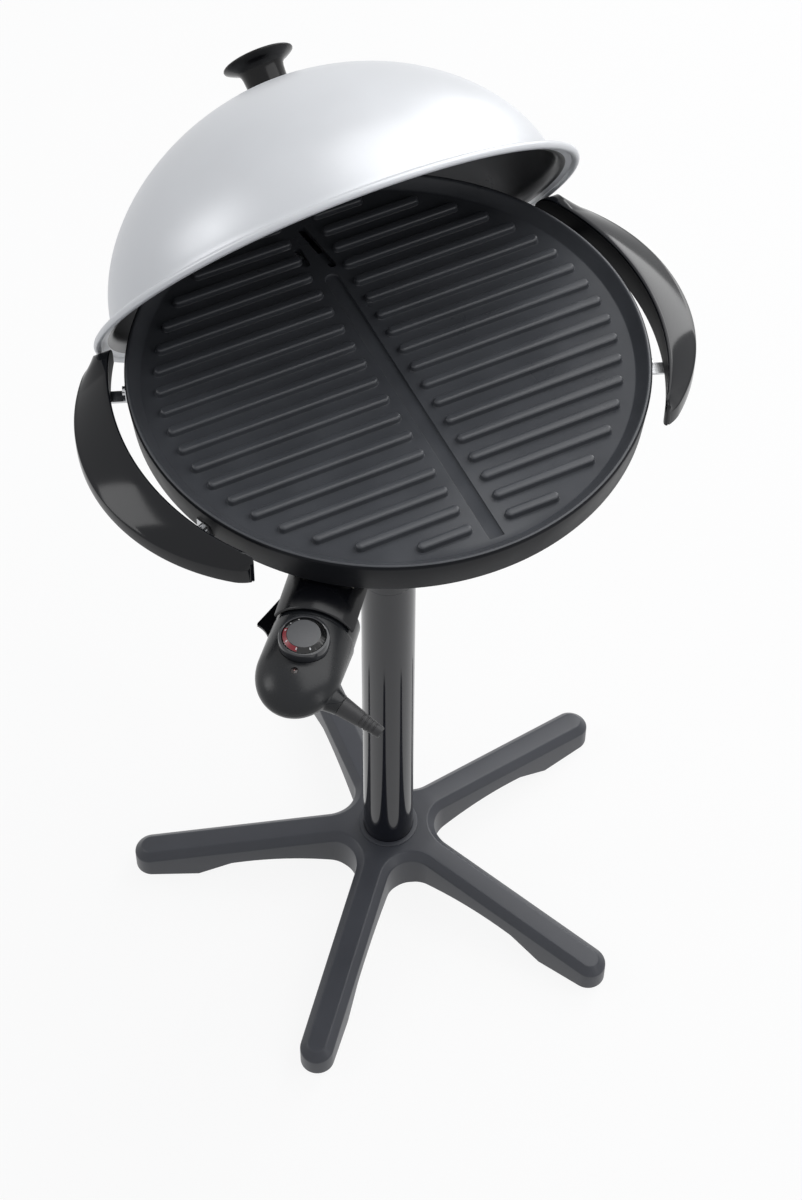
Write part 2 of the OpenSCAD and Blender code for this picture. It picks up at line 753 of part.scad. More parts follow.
module handle_shape() {
    n = handle_steps;
    y_mid = (handle_rear - handle_front) / 2;
    y_half = (handle_rear + handle_front) / 2 - 0.02;
    ys = [for (i = [0 : n]) y_mid - y_half * cos(180 * i / n)];
    rings = [for (i = [0 : n]) [for (p = handle_section(ys[i], i > 4 && i < n - 4))
        [p[0], ys[i], p[1]]]];
    m = len(rings[0]);
    points = [for (r = rings) each r];
    sides = [for (i = [0 : n - 1], j = [0 : m - 1])
        each [[i * m + j, (i + 1) * m + (j + 1) % m, i * m + (j + 1) % m],
            [i * m + j, (i + 1) * m + j, (i + 1) * m + (j + 1) % m]]];
    // the end faces, as triangles between the outer outline and the channel
    cap = [[0, 1, 12], [1, 11, 12], [1, 2, 11], [2, 3, 11], [3, 10, 11], [3, 4, 10],
        [4, 5, 10], [5, 9, 10], [5, 6, 9], [6, 8, 9], [6, 7, 8]];
    back = [for (f = cap) [for (j = [2, 1, 0]) n * m + f[j]]];
    polyhedron(points, [each sides, each cap, each back]);
}

module handle_right() {
    color([0.06, 0.06, 0.07]) handle_shape();
}

module handle_left() {
    color([0.06, 0.06, 0.07]) mirror([1, 0, 0]) handle_shape();
}

// Steel strap with two upright tabs, one on the plate's skirt and one inside the handle
module handle_straps() {
    color([0.7, 0.7, 0.72]) difference() {
        at_straps() {
            translate([pad_face_r, -strap_w / 2, strap_z])
                cube([strap_out_r + strap_t - pad_face_r, strap_w, strap_t]);
            translate([pad_face_r, -strap_w / 2, strap_z]) cube([strap_t, strap_w, 16]);
            translate([strap_out_r, -strap_w / 2, strap_z]) cube([strap_t, strap_w, 15]);
        }
        at_straps() along_x(pad_face_r - 1, 0, strap_screw_z)
            cylinder(h = strap_out_r + 8 - pad_face_r, r = screw_r);
    }
}

// Screws into the skirt's pads, and from inside each handle through its wall
module handle_screws() {
    color([0.7, 0.7, 0.72]) at_straps() {
        along_x(pad_face_r + strap_t, 0, strap_screw_z) cylinder(h = screw_head_t, r = screw_head_r);
        along_x(skirt_in_r, 0, strap_screw_z)
            cylinder(h = pad_face_r + strap_t - skirt_in_r + e, r = screw_r);
        along_x(strap_out_r + strap_t, 0, strap_screw_z) cylinder(h = screw_head_t, r = screw_head_r);
        along_x(handle_in_r + 0.4, 0, strap_screw_z)
            cylinder(h = strap_out_r + strap_t - handle_in_r - 0.4 + e, r = screw_r);
    }
}

// ---- lid ----

// Puts the closed lid, modelled round its own axis, in its open place
module lid_place() {
    translate([0, nose_y, nose_z]) rotate([-lid_open, 0, 0])
        translate([0, lid_back_rel, lid_up_rel]) children();
}

// Dome's curve from the knob's seat down to the brim
function dome_curve() = [for (i = [0 : dome_steps]) let (
    a = 90 * i / dome_steps,
    z = brim_foot + (seat_z - brim_foot) * cos(a))
    [i == 0 ? knob_seat_r : dome_rad(z), z]];

module lid_shell() {
    outer = [each dome_curve(), [dome_foot_r + 0.6, brim_foot - 5], [dome_foot_r + 3, bead_d],
        [dome_foot_r + 7.5, bead_r + lid_t + 0.4]];
    inner = [for (i = [len(outer) - 1 : -1 : 0]) let (p = outer[i])
        i > dome_steps ? [p[0] - (i > dome_steps + 2 ? 0 : lid_t), p[1] - (i > dome_steps + 1 ? lid_t : 0)]
            : let (k = p[1] / lid_h) [p[0] - lid_t * (1 - k * k), p[1] - lid_t * k]];
    turn = 180 - asin(lid_t / bead_d);
    roll = [for (i = [0 : bead_steps]) let (a = turn - 2 * turn * i / bead_steps)
        [bead_mid_r + bead_r * cos(a), bead_r + bead_r * sin(a)]];
    color([0.78, 0.79, 0.81]) lid_place() rotate_extrude($fn = 240)
        polygon([[knob_screw_r, seat_z], each outer, each roll, each inner,
            [knob_screw_r, seat_z - lid_t]]);
}

module lid_knob() {
    color([0.03, 0.03, 0.035]) lid_place() rotate_extrude() polygon([
        [knob_screw_r, knob_foot_z], [stem_r, knob_foot_z], [stem_r + 0.2, knob_foot_z + 8],
        [stem_r + 2, disc_z - 7], [knob_r - 4, disc_z - 2.2], [knob_r - 0.6, disc_z - 0.6],
        [knob_r, disc_z + 0.4], [knob_r - 0.8, disc_z + 1.6], [knob_r * 0.6, disc_z + 4],
        [0, disc_z + 5], [0, knob_foot_z + 14], [knob_screw_r, knob_foot_z + 14]]);
}

module knob_washer() {
    color([0.7, 0.7, 0.7]) lid_place() translate([0, 0, seat_z]) difference() {
        cylinder(h = washer_t, r = stem_r + 1.6);
        translate([0, 0, -1]) cylinder(h = washer_t + 2, r = knob_screw_r);
    }
}

module knob_screw() {
    color([0.7, 0.7, 0.72]) lid_place() {
        translate([0, 0, seat_z - lid_t - 3]) cylinder(h = 3, r = 7);
        translate([0, 0, seat_z - lid_t - e]) cylinder(h = lid_t + washer_t + 12 + e, r = knob_screw_r);
    }
}

// ---- thermostat ----

// Outer form of the thermostat, drawn in by one wall for the hollow
module control_form(inset) {
    r = neck_r + body_step - inset;
    hull() {
        along_x(sleeve_in + inset, 0, arch_mid_z) linear_extrude(1) intersection() {
            circle(r, $fn = 48);
            translate([-r, -r]) square([r + body_low - 6 + body_step - inset, 2 * r]);
        }
        translate([control_mid, 0, control_z]) scale([control_end - control_mid - inset,
            control_hw - inset, control_h / 2 - inset]) sphere(1, $fn = 48);
    }
}

// Neck that goes under the shroud
module control_neck(inset) {
    along_x(neck_in + inset, 0, arch_mid_z) linear_extrude(sleeve_in - neck_in + 1) intersection() {
        circle(neck_r - inset, $fn = 96);
        translate([-neck_r, -neck_r]) square([neck_r + body_low - 6 - inset, 2 * neck_r]);
    }
}

module control_spout(r, from) {
    a = atan2(spout_dir[1], spout_dir[0]);
    translate(spout_at) rotate([0, 0, a]) rotate([0, acos(spout_dir[2]), 0])
        translate([0, 0, -from]) cylinder(h = from, r = r);
}

module control_case() {
    difference() {
        union() {
            control_form(0);
            control_neck(0);
            control_spout(spout_r, spout_back);
        }
        control_form(control_t);
        control_neck(control_t);
        control_spout(boot_bore_r + 1, 2 * spout_back);
        for (s = [-1, 1]) along_x(neck_in - 1, s * pin_y, pin_z) cylinder(h = 6, r = pin_r + 2);
        along_x(neck_in - 1, 0, pin_z) cylinder(h = 6, r = probe_r);
    }
}

module thermostat_top() {
    color([0.07, 0.07, 0.075]) at_control() difference() {
        intersection() {
            union() {
                control_case();
                // seat of the dial
                intersection() {
                    control_form(0);
                    translate([dial_x, 0, dial_seat_z - control_t - 1])
                        cylinder(h = 30, r = dial_r + dial_ring_t + 3);
                }
            }
            translate([neck_in - 1, -60, split_z]) cube([120, 140, 60]);
        }
        translate([dial_x, 0, dial_seat_z]) cylinder(h = 30, r = dial_r + dial_ring_t + run_gap + 0.3);
        translate([dial_x, 0, split_z]) cylinder(h = 40, r = 3 + run_gap);
        translate([lens_x, 0, split_z + 5]) cylinder(h = 40, r = lens_r);
    }
}

module thermostat_bottom() {
    color([0.07, 0.07, 0.075]) at_control() difference() {
        union() {
            intersection() {
                control_case();
                translate([neck_in - 1, -60, split_z - 60]) cube([120, 140, 60]);
            }
            // posts that carry the switch block
            for (x = [-10, 10], y = [-9, 9]) translate([dial_x + 6 + x, y, control_z - 19.5])
                cylinder(h = 5, r = 3);
        }
        at_case_screws() translate([0, 0, control_z - 30]) cylinder(h = 40, r = case_screw_r);
    }
}

module contact_sleeves() {
    color([0.8, 0.7, 0.4]) at_control() difference() {
        for (s = [-1, 1]) along_x(neck_in + control_t + 1, s * pin_y, pin_z)
            cylinder(h = pin_out + 2 - neck_in - control_t, r = pin_r + 1.4);
        for (s = [-1, 1]) along_x(neck_in, s * pin_y, pin_z)
            cylinder(h = pin_out + 1 - neck_in, r = pin_r + slide_gap);
    }
}

module probe_rod() {
    color([0.75, 0.75, 0.77]) at_control() {
        translate([block_in + 4 + probe_r, 0, pin_z]) sphere(probe_r, $fn = 32);
        along_x(block_in + 4 + probe_r, 0, pin_z)
            cylinder(h = dial_x - 12 - block_in - 4 - probe_r, r = probe_r);
    }
}

module switch_block() {
    color([0.85, 0.8, 0.7]) at_control() difference() {
        translate([dial_x - 12, -15, control_z - 14.5]) cube([36, 30, 22]);
        translate([dial_x, 0, control_z - 6]) cylinder(h = 40, r = 3 + run_gap);
        for (s = [-1, 1]) along_x(dial_x - 20, s * pin_y, pin_z) cylinder(h = 60, r = pin_r + 1.4);
    }
}

module dial_knob() {
    color([0.25, 0.25, 0.26]) at_control() translate([dial_x, 0, dial_seat_z + run_gap]) difference() {
        union() {
            cylinder(h = dial_h - 2, r = dial_r);
            translate([0, 0, dial_h - 2 - e]) cylinder(h = 2 + e, r1 = dial_r, r2 = dial_r - 1.5);
        }
        translate([0, 0, -1]) cylinder(h = 9, r = 3);
    }
}

module dial_shaft() {
    color([0.75, 0.75, 0.77]) at_control() translate([dial_x, 0, control_z - 5])
        cylinder(h = dial_seat_z + run_gap + 8 - control_z + 5, r = 3);
}

module dial_ring() {
    color([0.6, 0.6, 0.62]) at_control() translate([dial_x, 0, dial_seat_z]) difference() {
        cylinder(h = dial_h - 2, r = dial_r + run_gap + dial_ring_t);
        translate([0, 0, -1]) cylinder(h = dial_h, r = dial_r + run_gap);
    }
}

module indicator_lens() {
    color([0.6, 0.2, 0.15]) at_control() translate([lens_x, 0, control_z + 12])
        cylinder(h = 8.8, r = lens_r);
}

// Ribbed, tapered rubber boot with the hole that the cord comes out of
module strain_relief() {
    a = atan2(spout_dir[1], spout_dir[0]);
    slope = (boot_r - boot_end_r) / boot_len;
    color([0.08, 0.08, 0.08]) at_control() translate(spout_at) rotate([0, 0, a])
        rotate([0, acos(spout_dir[2]), 0]) difference() {
            union() {
                cylinder(h = boot_len, r1 = boot_r, r2 = boot_end_r);
                for (i = [0 : 3]) translate([0, 0, boot_len - 4 - 5 * i])
                    cylinder(h = 2.2, r = boot_end_r + slope * (4 + 5 * i) + 0.5);
            }
            translate([0, 0, boot_len - boot_bore_len]) cylinder(h = boot_bore_len + 1,
                r = boot_bore_r);
        }
}

module at_case_screws() {
    for (p = [[-24, -21], [-24, 21], [34, 0]]) translate([dial_x + p[0], p[1], 0]) children();
}

module thermostat_screws() {
    color([0.7, 0.7, 0.72]) at_control() at_case_screws() translate([0, 0, control_z - 18])
        cylinder(h = 28, r = case_screw_r);
}

base_star();
foot_pads();
pole_lower();
pole_upper();
pole_sleeve();
pole_plug();
base_bolt();
base_washer();
pole_socket();
socket_screws();
housing();
drip_tray();
grill_plate();
heating_element();
terminal_block();
terminal_pins();
socket_shroud();
block_screws();
handle_left();
handle_right();
handle_straps();
handle_screws();
lid_shell();
lid_knob();
knob_washer();
knob_screw();
thermostat_top();
thermostat_bottom();
contact_sleeves();
probe_rod();
switch_block();
dial_knob();
dial_shaft();
dial_ring();
indicator_lens();
strain_relief();
thermostat_screws();
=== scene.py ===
from math import asin, atan2, cos, hypot, pi, radians, sin, sqrt

import bmesh
import bpy
from mathutils import Matrix, Vector


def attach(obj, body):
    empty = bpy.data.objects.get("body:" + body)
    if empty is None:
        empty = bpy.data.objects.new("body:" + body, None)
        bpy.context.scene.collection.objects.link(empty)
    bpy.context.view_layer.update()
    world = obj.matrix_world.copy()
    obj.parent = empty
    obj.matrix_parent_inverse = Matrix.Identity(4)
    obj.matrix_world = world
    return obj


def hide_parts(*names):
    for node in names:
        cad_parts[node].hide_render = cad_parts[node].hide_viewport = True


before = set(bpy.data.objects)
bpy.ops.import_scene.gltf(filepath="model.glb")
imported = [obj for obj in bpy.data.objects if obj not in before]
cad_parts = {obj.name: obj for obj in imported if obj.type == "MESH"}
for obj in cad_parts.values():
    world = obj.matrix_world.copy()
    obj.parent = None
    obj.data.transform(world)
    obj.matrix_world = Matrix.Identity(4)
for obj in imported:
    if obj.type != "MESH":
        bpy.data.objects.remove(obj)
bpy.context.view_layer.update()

# ----------------------------------------------------------
# Five-legged base. One injection moulding of dark grey plastic with a fine matt grain: hollow
# legs, open below, that run with rounded corners into a hub with a raised collar for the pole.
# A wide bevel follows every upper edge, and each foot ends in a closed flat pocket.
MM = 0.001
LEGS = 5
LEG_AIM = radians(155.7)
LEG_REACH = 266
LEG_HALF = 17.1
LEG_TIP = LEG_REACH - LEG_HALF
LEG_CORNER = 27
LEG_WALL = 3
HUB_TOP = 70
HUB_UNDER = 21.482
HUB_FLOOR = HUB_UNDER + 7
# a leg's top is level, bends, and falls straight to the foot
BEND_FROM = 44
BEND_TO = 56
BEND_MID = (BEND_FROM + BEND_TO) / 2
FOOT_TOP = 32
LEG_FALL = (HUB_TOP - FOOT_TOP) / (LEG_REACH - BEND_MID)
# its lower edge is a flat arc, then a ramp down to the foot
ARC_R = 260
ARC_X = 105
ARC_TOP = 28.5
RAMP_FROM = 165
RAMP_LONG = 35
FOOT_UNDER = 2.5
SPREAD = pi / LEGS
CORNER_FAR = (LEG_CORNER + LEG_HALF) / sin(SPREAD)
CORNER_STEPS = 12
TIP_STEPS = 28
POCKET_FROM = 64.8
POCKET_SKIN = 6
FOOT_FROM = 203
COLLAR_R = 30.5
COLLAR_TOP = 71.5
POLE_R = 25.5
BOLT_HOLE_R = 4.3
HUB_STEPS = 96


def tone(red, green, blue):
    """A colour as the eye reads it, 0 to 255, in the linear values that a shader takes."""
    return tuple(((c / 255 + 0.055) / 1.055) ** 2.4 if c > 10 else c / 3294.6
                 for c in (red, green, blue)) + (1.0,)


def add_node(nodes, kind, values=()):
    """A shader node, with the sockets that are named set."""
    node = nodes.new("ShaderNode" + kind)
    for socket, value in dict(values).items():
        node.inputs[socket].default_value = value
    return node


def grained(name, colour, roughness, grain=1400, depth=0.00006, cloud=0.06, metallic=0.0,
            spread=0.05, specular=0.5):
    """A moulded or painted skin: slow cloudy changes of colour and gloss over a fine grain."""
    skin = bpy.data.materials.new(name)
    skin.use_nodes = True
    nodes, links = skin.node_tree.nodes, skin.node_tree.links
    shader = nodes["Principled BSDF"]
    shader.inputs["Metallic"].default_value = metallic
    shader.inputs["Specular IOR Level"].default_value = specular
    place = add_node(nodes, "TexCoord")
    clouds = add_node(nodes, "TexNoise", {"Scale": 22, "Detail": 5})
    links.new(place.outputs["Object"], clouds.inputs["Vector"])
    tint = add_node(nodes, "ValToRGB")
    for stop, position, change in zip(tint.color_ramp.elements, (0.3, 0.7), (-cloud, cloud)):
        stop.position = position
        stop.color = tuple(min(1, c * (1 + change)) for c in colour[:3]) + (1,)
    links.new(clouds.outputs["Fac"], tint.inputs["Fac"])
    links.new(tint.outputs["Color"], shader.inputs["Base Color"])
    gloss = add_node(nodes, "MapRange", {"From Min": 0.3, "From Max": 0.7,
                                         "To Min": roughness * (1 - spread),
                                         "To Max": roughness * (1 + spread)})
    links.new(clouds.outputs["Fac"], gloss.inputs["Value"])
    links.new(gloss.outputs["Result"], shader.inputs["Roughness"])
    speck = add_node(nodes, "TexNoise", {"Scale": grain, "Detail": 3})
    links.new(place.outputs["Object"], speck.inputs["Vector"])
    relief = add_node(nodes, "Bump", {"Strength": 0.6, "Distance": depth})
    links.new(speck.outputs["Fac"], relief.inputs["Height"])
    links.new(relief.outputs["Normal"], shader.inputs["Normal"])
    return skin


def mesh_of(name, shape):
    """The finished mesh of a shape, which is used up."""
    mesh = bpy.data.meshes.new(name)
    shape.to_mesh(mesh)
    shape.free()
    return mesh


def put(name, data):
    """A new thing in the scene."""
    thing = bpy.data.objects.new(name, data)
    bpy.context.scene.collection.objects.link(thing)
    return thing


def fit(name, shape, body, skin, stands_for=(), sharp=32, place=None):
    """Makes a piece of a finished shape, drawn in millimetres, and fixes it to its body."""
    bmesh.ops.remove_doubles(shape, verts=shape.verts, dist=0.0005)
    bmesh.ops.recalc_face_normals(shape, faces=shape.faces)
    shape.transform(Matrix.Scale(MM, 4) @ (place or Matrix()))
    mesh = mesh_of(name, shape)
    for face in mesh.polygons:
        face.use_smooth = True
    mesh.set_sharp_from_angle(angle=radians(sharp))
    mesh.materials.append(skin)
    piece = put(name, mesh)
    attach(piece, body)
    if stands_for:
        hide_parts(*stands_for)
    return piece


def loop(shape, points):
    """Corner points, added to a shape."""
    return [shape.verts.new(p) for p in points]


def circle(r, z, steps):
    """Points once round the upright axis."""
    return [(r * cos(2 * pi * k / steps), r * sin(2 * pi * k / steps), z) for k in range(steps)]


def skin_between(shape, one, two, closed=True):
    """Faces between two loops; a loop of a single point makes a fan."""
    count = max(len(one), len(two))
    for k in range(count if closed else count - 1):
        n = (k + 1) % count
        corners = [one[k % len(one)], one[n % len(one)], two[n % len(two)], two[k % len(two)]]
        corners = list(dict.fromkeys(corners))
        if len(corners) > 2:
            shape.faces.new(corners)


def skin_along(shape, rings, closed=True, capped=False):
    """Faces from each loop to the next and, if capped, over the first and the last."""
    for one, two in zip(rings, rings[1:]):
        skin_between(shape, one, two, closed)
    return [shape.faces.new(rings[0]), shape.faces.new(rings[-1])] if capped else []


def leg_top(x):
    """Height of a leg's top, at a distance from the middle of the hub."""
    eased = min(max((x - BEND_FROM) / (BEND_TO - BEND_FROM), 0), 1)
    bend = (BEND_MID - BEND_FROM) * eased * eased
    return HUB_TOP - LEG_FALL * (bend if x < BEND_TO else x - BEND_MID)


def leg_under(x):
    """Height of its lower edge."""
    if x <= RAMP_FROM:
        return max(HUB_UNDER, ARC_TOP - ARC_R + sqrt(ARC_R ** 2 - (x - ARC_X) ** 2))
    return max(FOOT_UNDER, HUB_UNDER + (FOOT_UNDER - HUB_UNDER) * (x - RAMP_FROM) / RAMP_LONG)


def leg_outline(inset):
    """One leg seen from above, from the middle of one inner corner round the tip to the next."""
    radius = LEG_CORNER + inset
    middle = (CORNER_FAR * cos(SPREAD), -CORNER_FAR * sin(SPREAD))
    side = []
    for k in range(CORNER_STEPS + 1):
        a = pi - SPREAD - (pi / 2 - SPREAD) * k / CORNER_STEPS
        side.append((middle[0] + radius * cos(a), middle[1] + radius * sin(a)))
    # stations along the side, close together where the pocket or the lower edge changes
    runs = [POCKET_FROM - 0.1, POCKET_FROM, *range(70, 161, 10), RAMP_FROM - 0.1, 167, 173, 180,
            187, 194, 198.5, RAMP_FROM + RAMP_LONG, FOOT_FROM, FOOT_FROM + 0.1, 210, 222, 236]
    side += [(x, -(LEG_HALF - inset)) for x in runs]
    half = LEG_HALF - inset
    tip = [(LEG_TIP + half * cos(a), half * sin(a))
           for a in (-pi / 2 + pi * k / TIP_STEPS for k in range(TIP_STEPS + 1))]
    return side + tip + [(x, -y) for x, y in reversed(side)]


def star_base():
    """Loops from the pocket's edge, under the wall and up over the bevel, then the flat faces."""
    shape = bmesh.new()

    def star_loop(inset, height):
        points = []
        for leg in range(LEGS):
            turn = Matrix.Rotation(LEG_AIM + leg * 2 * SPREAD, 3, "Z")
            for x, y in leg_outline(inset)[:-1]:
                points.append(turn @ Vector((x, y, height(x))))
        return loop(shape, points)

    def pocket(x):
        return leg_top(x) - POCKET_SKIN if POCKET_FROM <= x <= FOOT_FROM else leg_under(x)

    count = len(leg_outline(0)) - 1
    rims = [star_loop(LEG_WALL, pocket), star_loop(LEG_WALL, leg_under),
            star_loop(0.5, leg_under), star_loop(0, lambda x: leg_under(x) + 0.5)]
    for inset, drop in ((0, 8.9), (0.1, 7.9), (0.45, 7.1), (1.1, 6.3), (6.4, 1.0), (7.1, 0.42),
                        (7.9, 0.1), (8.8, 0)):
        rims.append(star_loop(inset, lambda x, d=drop: leg_top(x) - d))
    skin_along(shape, rims)
    # the flat top of each leg, and the ceiling of its pocket
    along = [x for x, y in leg_outline(0)]
    first = next(k for k, x in enumerate(along) if x >= BEND_FROM)
    for rim in (rims[0], rims[-1]):
        for leg in range(LEGS):
            at = [rim[(leg * count + k) % len(rim)] for k in range(count + 1)]
            for k in range(first, (count + 1) // 2):
                corners = list(dict.fromkeys((at[k], at[k + 1], at[count - k - 1], at[count - k])))
                if len(corners) > 2:
                    shape.faces.new(corners)
    # bore, collar and the two flat faces of the hub
    bore = [(BOLT_HOLE_R, HUB_UNDER), (BOLT_HOLE_R, HUB_FLOOR), (POLE_R, HUB_FLOOR),
            (POLE_R, COLLAR_TOP - 0.3), (POLE_R + 0.3, COLLAR_TOP), (COLLAR_R - 0.9, COLLAR_TOP),
            (COLLAR_R - 0.3, COLLAR_TOP - 0.2), (COLLAR_R, COLLAR_TOP - 0.7), (COLLAR_R, HUB_TOP)]
    skin_along(shape, [loop(shape, circle(r, z, HUB_STEPS)) for r, z in bore])
    for level in (HUB_TOP, HUB_UNDER):
        edges = [e for e in shape.edges if len(e.link_faces) == 1
                 and all(abs(v.co.z - level) < 0.01 for v in e.verts)]
        bmesh.ops.triangle_fill(shape, edges=edges, use_beauty=True)
    return shape


star_plastic = grained("star plastic", tone(60, 62, 68), 0.38, grain=2200, depth=0.00005,
                       specular=0.4)
fit("base_moulding", star_base(), "stand", star_plastic, ["base_star"], sharp=24)

# ----------------------------------------------------------
# Foot pads. Five pads of soft black rubber that grip the floor. Each is moulded to the shape of a
# leg's end and glued under it.
def dress(skin, *nodes):
    """Gives solids of the frame that keep their own shape a finish."""
    for node in nodes:
        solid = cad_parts[node].data
        solid.materials.clear()
        solid.materials.append(skin)


pad_rubber = grained("pad rubber", tone(30, 30, 31), 0.85, grain=900, depth=0.0002)
dress(pad_rubber, "foot_pads")

# ----------------------------------------------------------
# Pole. Two thin steel tubes in gloss black stove enamel that meet over an inner steel sleeve;
# the lower one stands in the hub's collar on a welded plug and is drawn down by one bolt.
POLE_WALL = 1.2
POLE_EDGE = 0.25
POLE_FOOT = HUB_FLOOR
POLE_JOINT = 495
POLE_TOP = 722


def turned(shape, profile, steps=160, closed=True, place=Matrix()):
    """Turns a profile of (radius, height) points once round the upright axis."""
    rings = []
    for r, z in profile:
        points = circle(r, z, steps if r else 1)
        rings.append(loop(shape, [place @ Vector(p) for p in points]))
    skin_along(shape, rings + rings[:1] if closed else rings)
    return shape


def pole_tube(low, high):
    """One tube, with both outer edges eased."""
    inside = POLE_R - POLE_WALL
    eased = POLE_R - POLE_EDGE
    return turned(bmesh.new(), [(inside, low), (eased, low), (POLE_R, low + POLE_EDGE),
                                (POLE_R, high - POLE_EDGE), (eased, high), (inside, high)], 192)


pole_enamel = grained("pole enamel", tone(20, 22, 30), 0.09, grain=260, depth=0.00001, spread=0.2,
                      specular=0.45)
fit("pole_tube_lower", pole_tube(POLE_FOOT, POLE_JOINT), "stand", pole_enamel,
    ["pole_lower"])
fit("pole_tube_upper", pole_tube(POLE_JOINT, POLE_TOP), "stand", pole_enamel,
    ["pole_upper"])

# ----------------------------------------------------------
# Fixings of the stand. Zinc-plated steel: the sleeve inside the joint, the plug in the pole's
# foot, and the bolt with its washer under the hub.
zinc = grained("zinc plate", tone(176, 178, 180), 0.34, grain=700, depth=0.00004, metallic=1.0,
               spread=0.25)
dress(zinc, "pole_sleeve", "pole_plug", "base_bolt", "base_washer")

# ----------------------------------------------------------
# Pole socket. Black glass-filled plastic, ribbed under its flange; it drops over the pole's top
# and carries the head. Six zinc-plated screws hold it to the housing.
ribbed_plastic = grained("socket plastic", tone(34, 34, 36), 0.48, grain=1500, depth=0.00008)
dress(ribbed_plastic, "pole_socket")
dress(zinc, "socket_screws")

# ----------------------------------------------------------
# Housing. A shallow pan pressed from sheet steel in satin black paint. The plate's skirt rests
# over its flange, and a port at the back lets the drip tray out.
pan_paint = grained("pan paint", tone(27, 27, 29), 0.38, grain=900, depth=0.00005, spread=0.15)
dress(pan_paint, "housing")

# ----------------------------------------------------------
# Drip tray. Folded from thin aluminium sheet, with a lip to pull. It lies in the housing under the
# drain slots and slides out at the back.
tray_sheet = grained("tray sheet", tone(196, 198, 201), 0.3, grain=500, depth=0.00006,
                     metallic=1.0, spread=0.3)
dress(tray_sheet, "drip_tray")

# ----------------------------------------------------------
# Grill plate. One aluminium die casting under a dark grey non-stick coat: a shallow round pan
# with a rim and a skirt, rows of ribs either side of a fat channel, and drain slots at the back.
# Underneath are a cast ridge for the element, a boss for its terminals and four strap pads.
RIM_TOP = 790
RIM_R = 220
RIM_W = 4
FLOOR_Z = 780
FLOOR_UNDER = 775
FLOOR_R = 206
SKIRT_Z = 758
SKIRT_R = 217
SKIRT_IN = 214
RIB_HIGH = 5.5
RIB_WIDE = 10
RIB_PITCH = 21.8
RIB_ROWS = 18
RIB_END_R = 196
RIB_START = 14.5
CHANNEL_WIDE = 13.6
CHANNEL_DEEP = 2.2
CHANNEL_BACK = 117
CHANNEL_FRONT = 5
# each drain slot: middle x and y, length, turn in degrees
DRAIN_SLOTS = ((-13, 145, 24, 0), (4, 151, 56, 8))
DRAIN_WIDE = 7
RIDGE_R = 140
RIDGE_HALF = 7
RIDGE_LOW = 769.5
CONTROL_AIM = radians(-130)
BOSS_IN = 176
BOSS_OUT = 206
BOSS_HALF = 24
BOSS_LOW = 757
STRAP_Y = 80
STRAP_HALF = 8
STRAP_PAD_TOP = 774
END_STEPS = 12
PLATE_STEPS = 240


def capsule(x0, x1, half):
    """Outline of a rib at one level: a bar along X with round ends, centred on y = 0."""
    points = []
    for middle, start in ((x1 - RIB_WIDE / 2, -pi / 2), (x0 + RIB_WIDE / 2, pi / 2)):
        for k in range(END_STEPS + 1):
            a = start + pi * k / END_STEPS
            points.append((middle + half * cos(a), half * sin(a)))
    return points


def rib(shape, x0, x1, y):
    """A rib with a soft foot, drawn-in sides and a rounded back."""
    section = [(5.0, -0.6), (5.0, 0.0), (4.72, 0.35), (4.55, 0.9), (4.3, 3.0), (4.05, 4.0),
               (3.55, 4.75), (2.8, 5.22), (1.9, 5.44), (0.9, RIB_HIGH)]
    rings = [loop(shape, [(x, y + v, FLOOR_Z + z) for x, v in capsule(x0, x1, half)])
             for half, z in section]
    skin_along(shape, rings)
    top, foot = rings[-1], rings[0]
    last = len(top)
    for ring in (top, foot):
        for k in range(last // 2 - 1):
            shape.faces.new((ring[k], ring[k + 1], ring[last - 2 - k], ring[last - 1 - k]))


def slot_outline(x, y, length, turn):
    half = DRAIN_WIDE / 2
    points = []
    for end, start in ((1, 0), (-1, pi)):
        for k in range(END_STEPS + 1):
            a = start + pi * k / END_STEPS
            p = Vector((half * cos(a), half * sin(a) + end * (length - DRAIN_WIDE) / 2, 0))
            p = Matrix.Rotation(radians(turn), 3, "Z") @ p
            points.append((p.x + x, p.y + y))
    return points


def channel_outline():
    half = CHANNEL_WIDE / 2
    front = -sqrt(FLOOR_R ** 2 - half ** 2) + CHANNEL_FRONT
    middle = CHANNEL_BACK - half
    rounded = [(half * cos(pi * k / 16), middle + half * sin(pi * k / 16)) for k in range(17)]
    return [(-half, front), (half, front)] + rounded


def block(shape, low, high, edge=0.8, place=Matrix()):
    """A cast or moulded block with eased upright and level edges."""
    outline = []
    for cx, cy, a0 in ((high[0], high[1], 0), (low[0], high[1], 90), (low[0], low[1], 180),
                       (high[0], low[1], 270)):
        sx = -1 if a0 in (0, 270) else 1
        sy = -1 if a0 in (0, 90) else 1
        outline.append((cx + sx * edge, cy + sy * edge, radians(a0)))
    rings = []
    for inset, z in ((edge, low[2]), (0.3 * edge, low[2] + 0.3 * edge), (0, low[2] + edge),
                     (0, high[2] - edge), (0.3 * edge, high[2] - 0.3 * edge), (edge, high[2])):
        ring = []
        for cx, cy, a0 in outline:
            for k in range(4):
                a = a0 + radians(30 * k)
                ring.append(place @ Vector((cx + (edge - inset) * cos(a),
                                            cy + (edge - inset) * sin(a), z)))
        rings.append(loop(shape, ring))
    skin_along(shape, rings, capped=True)


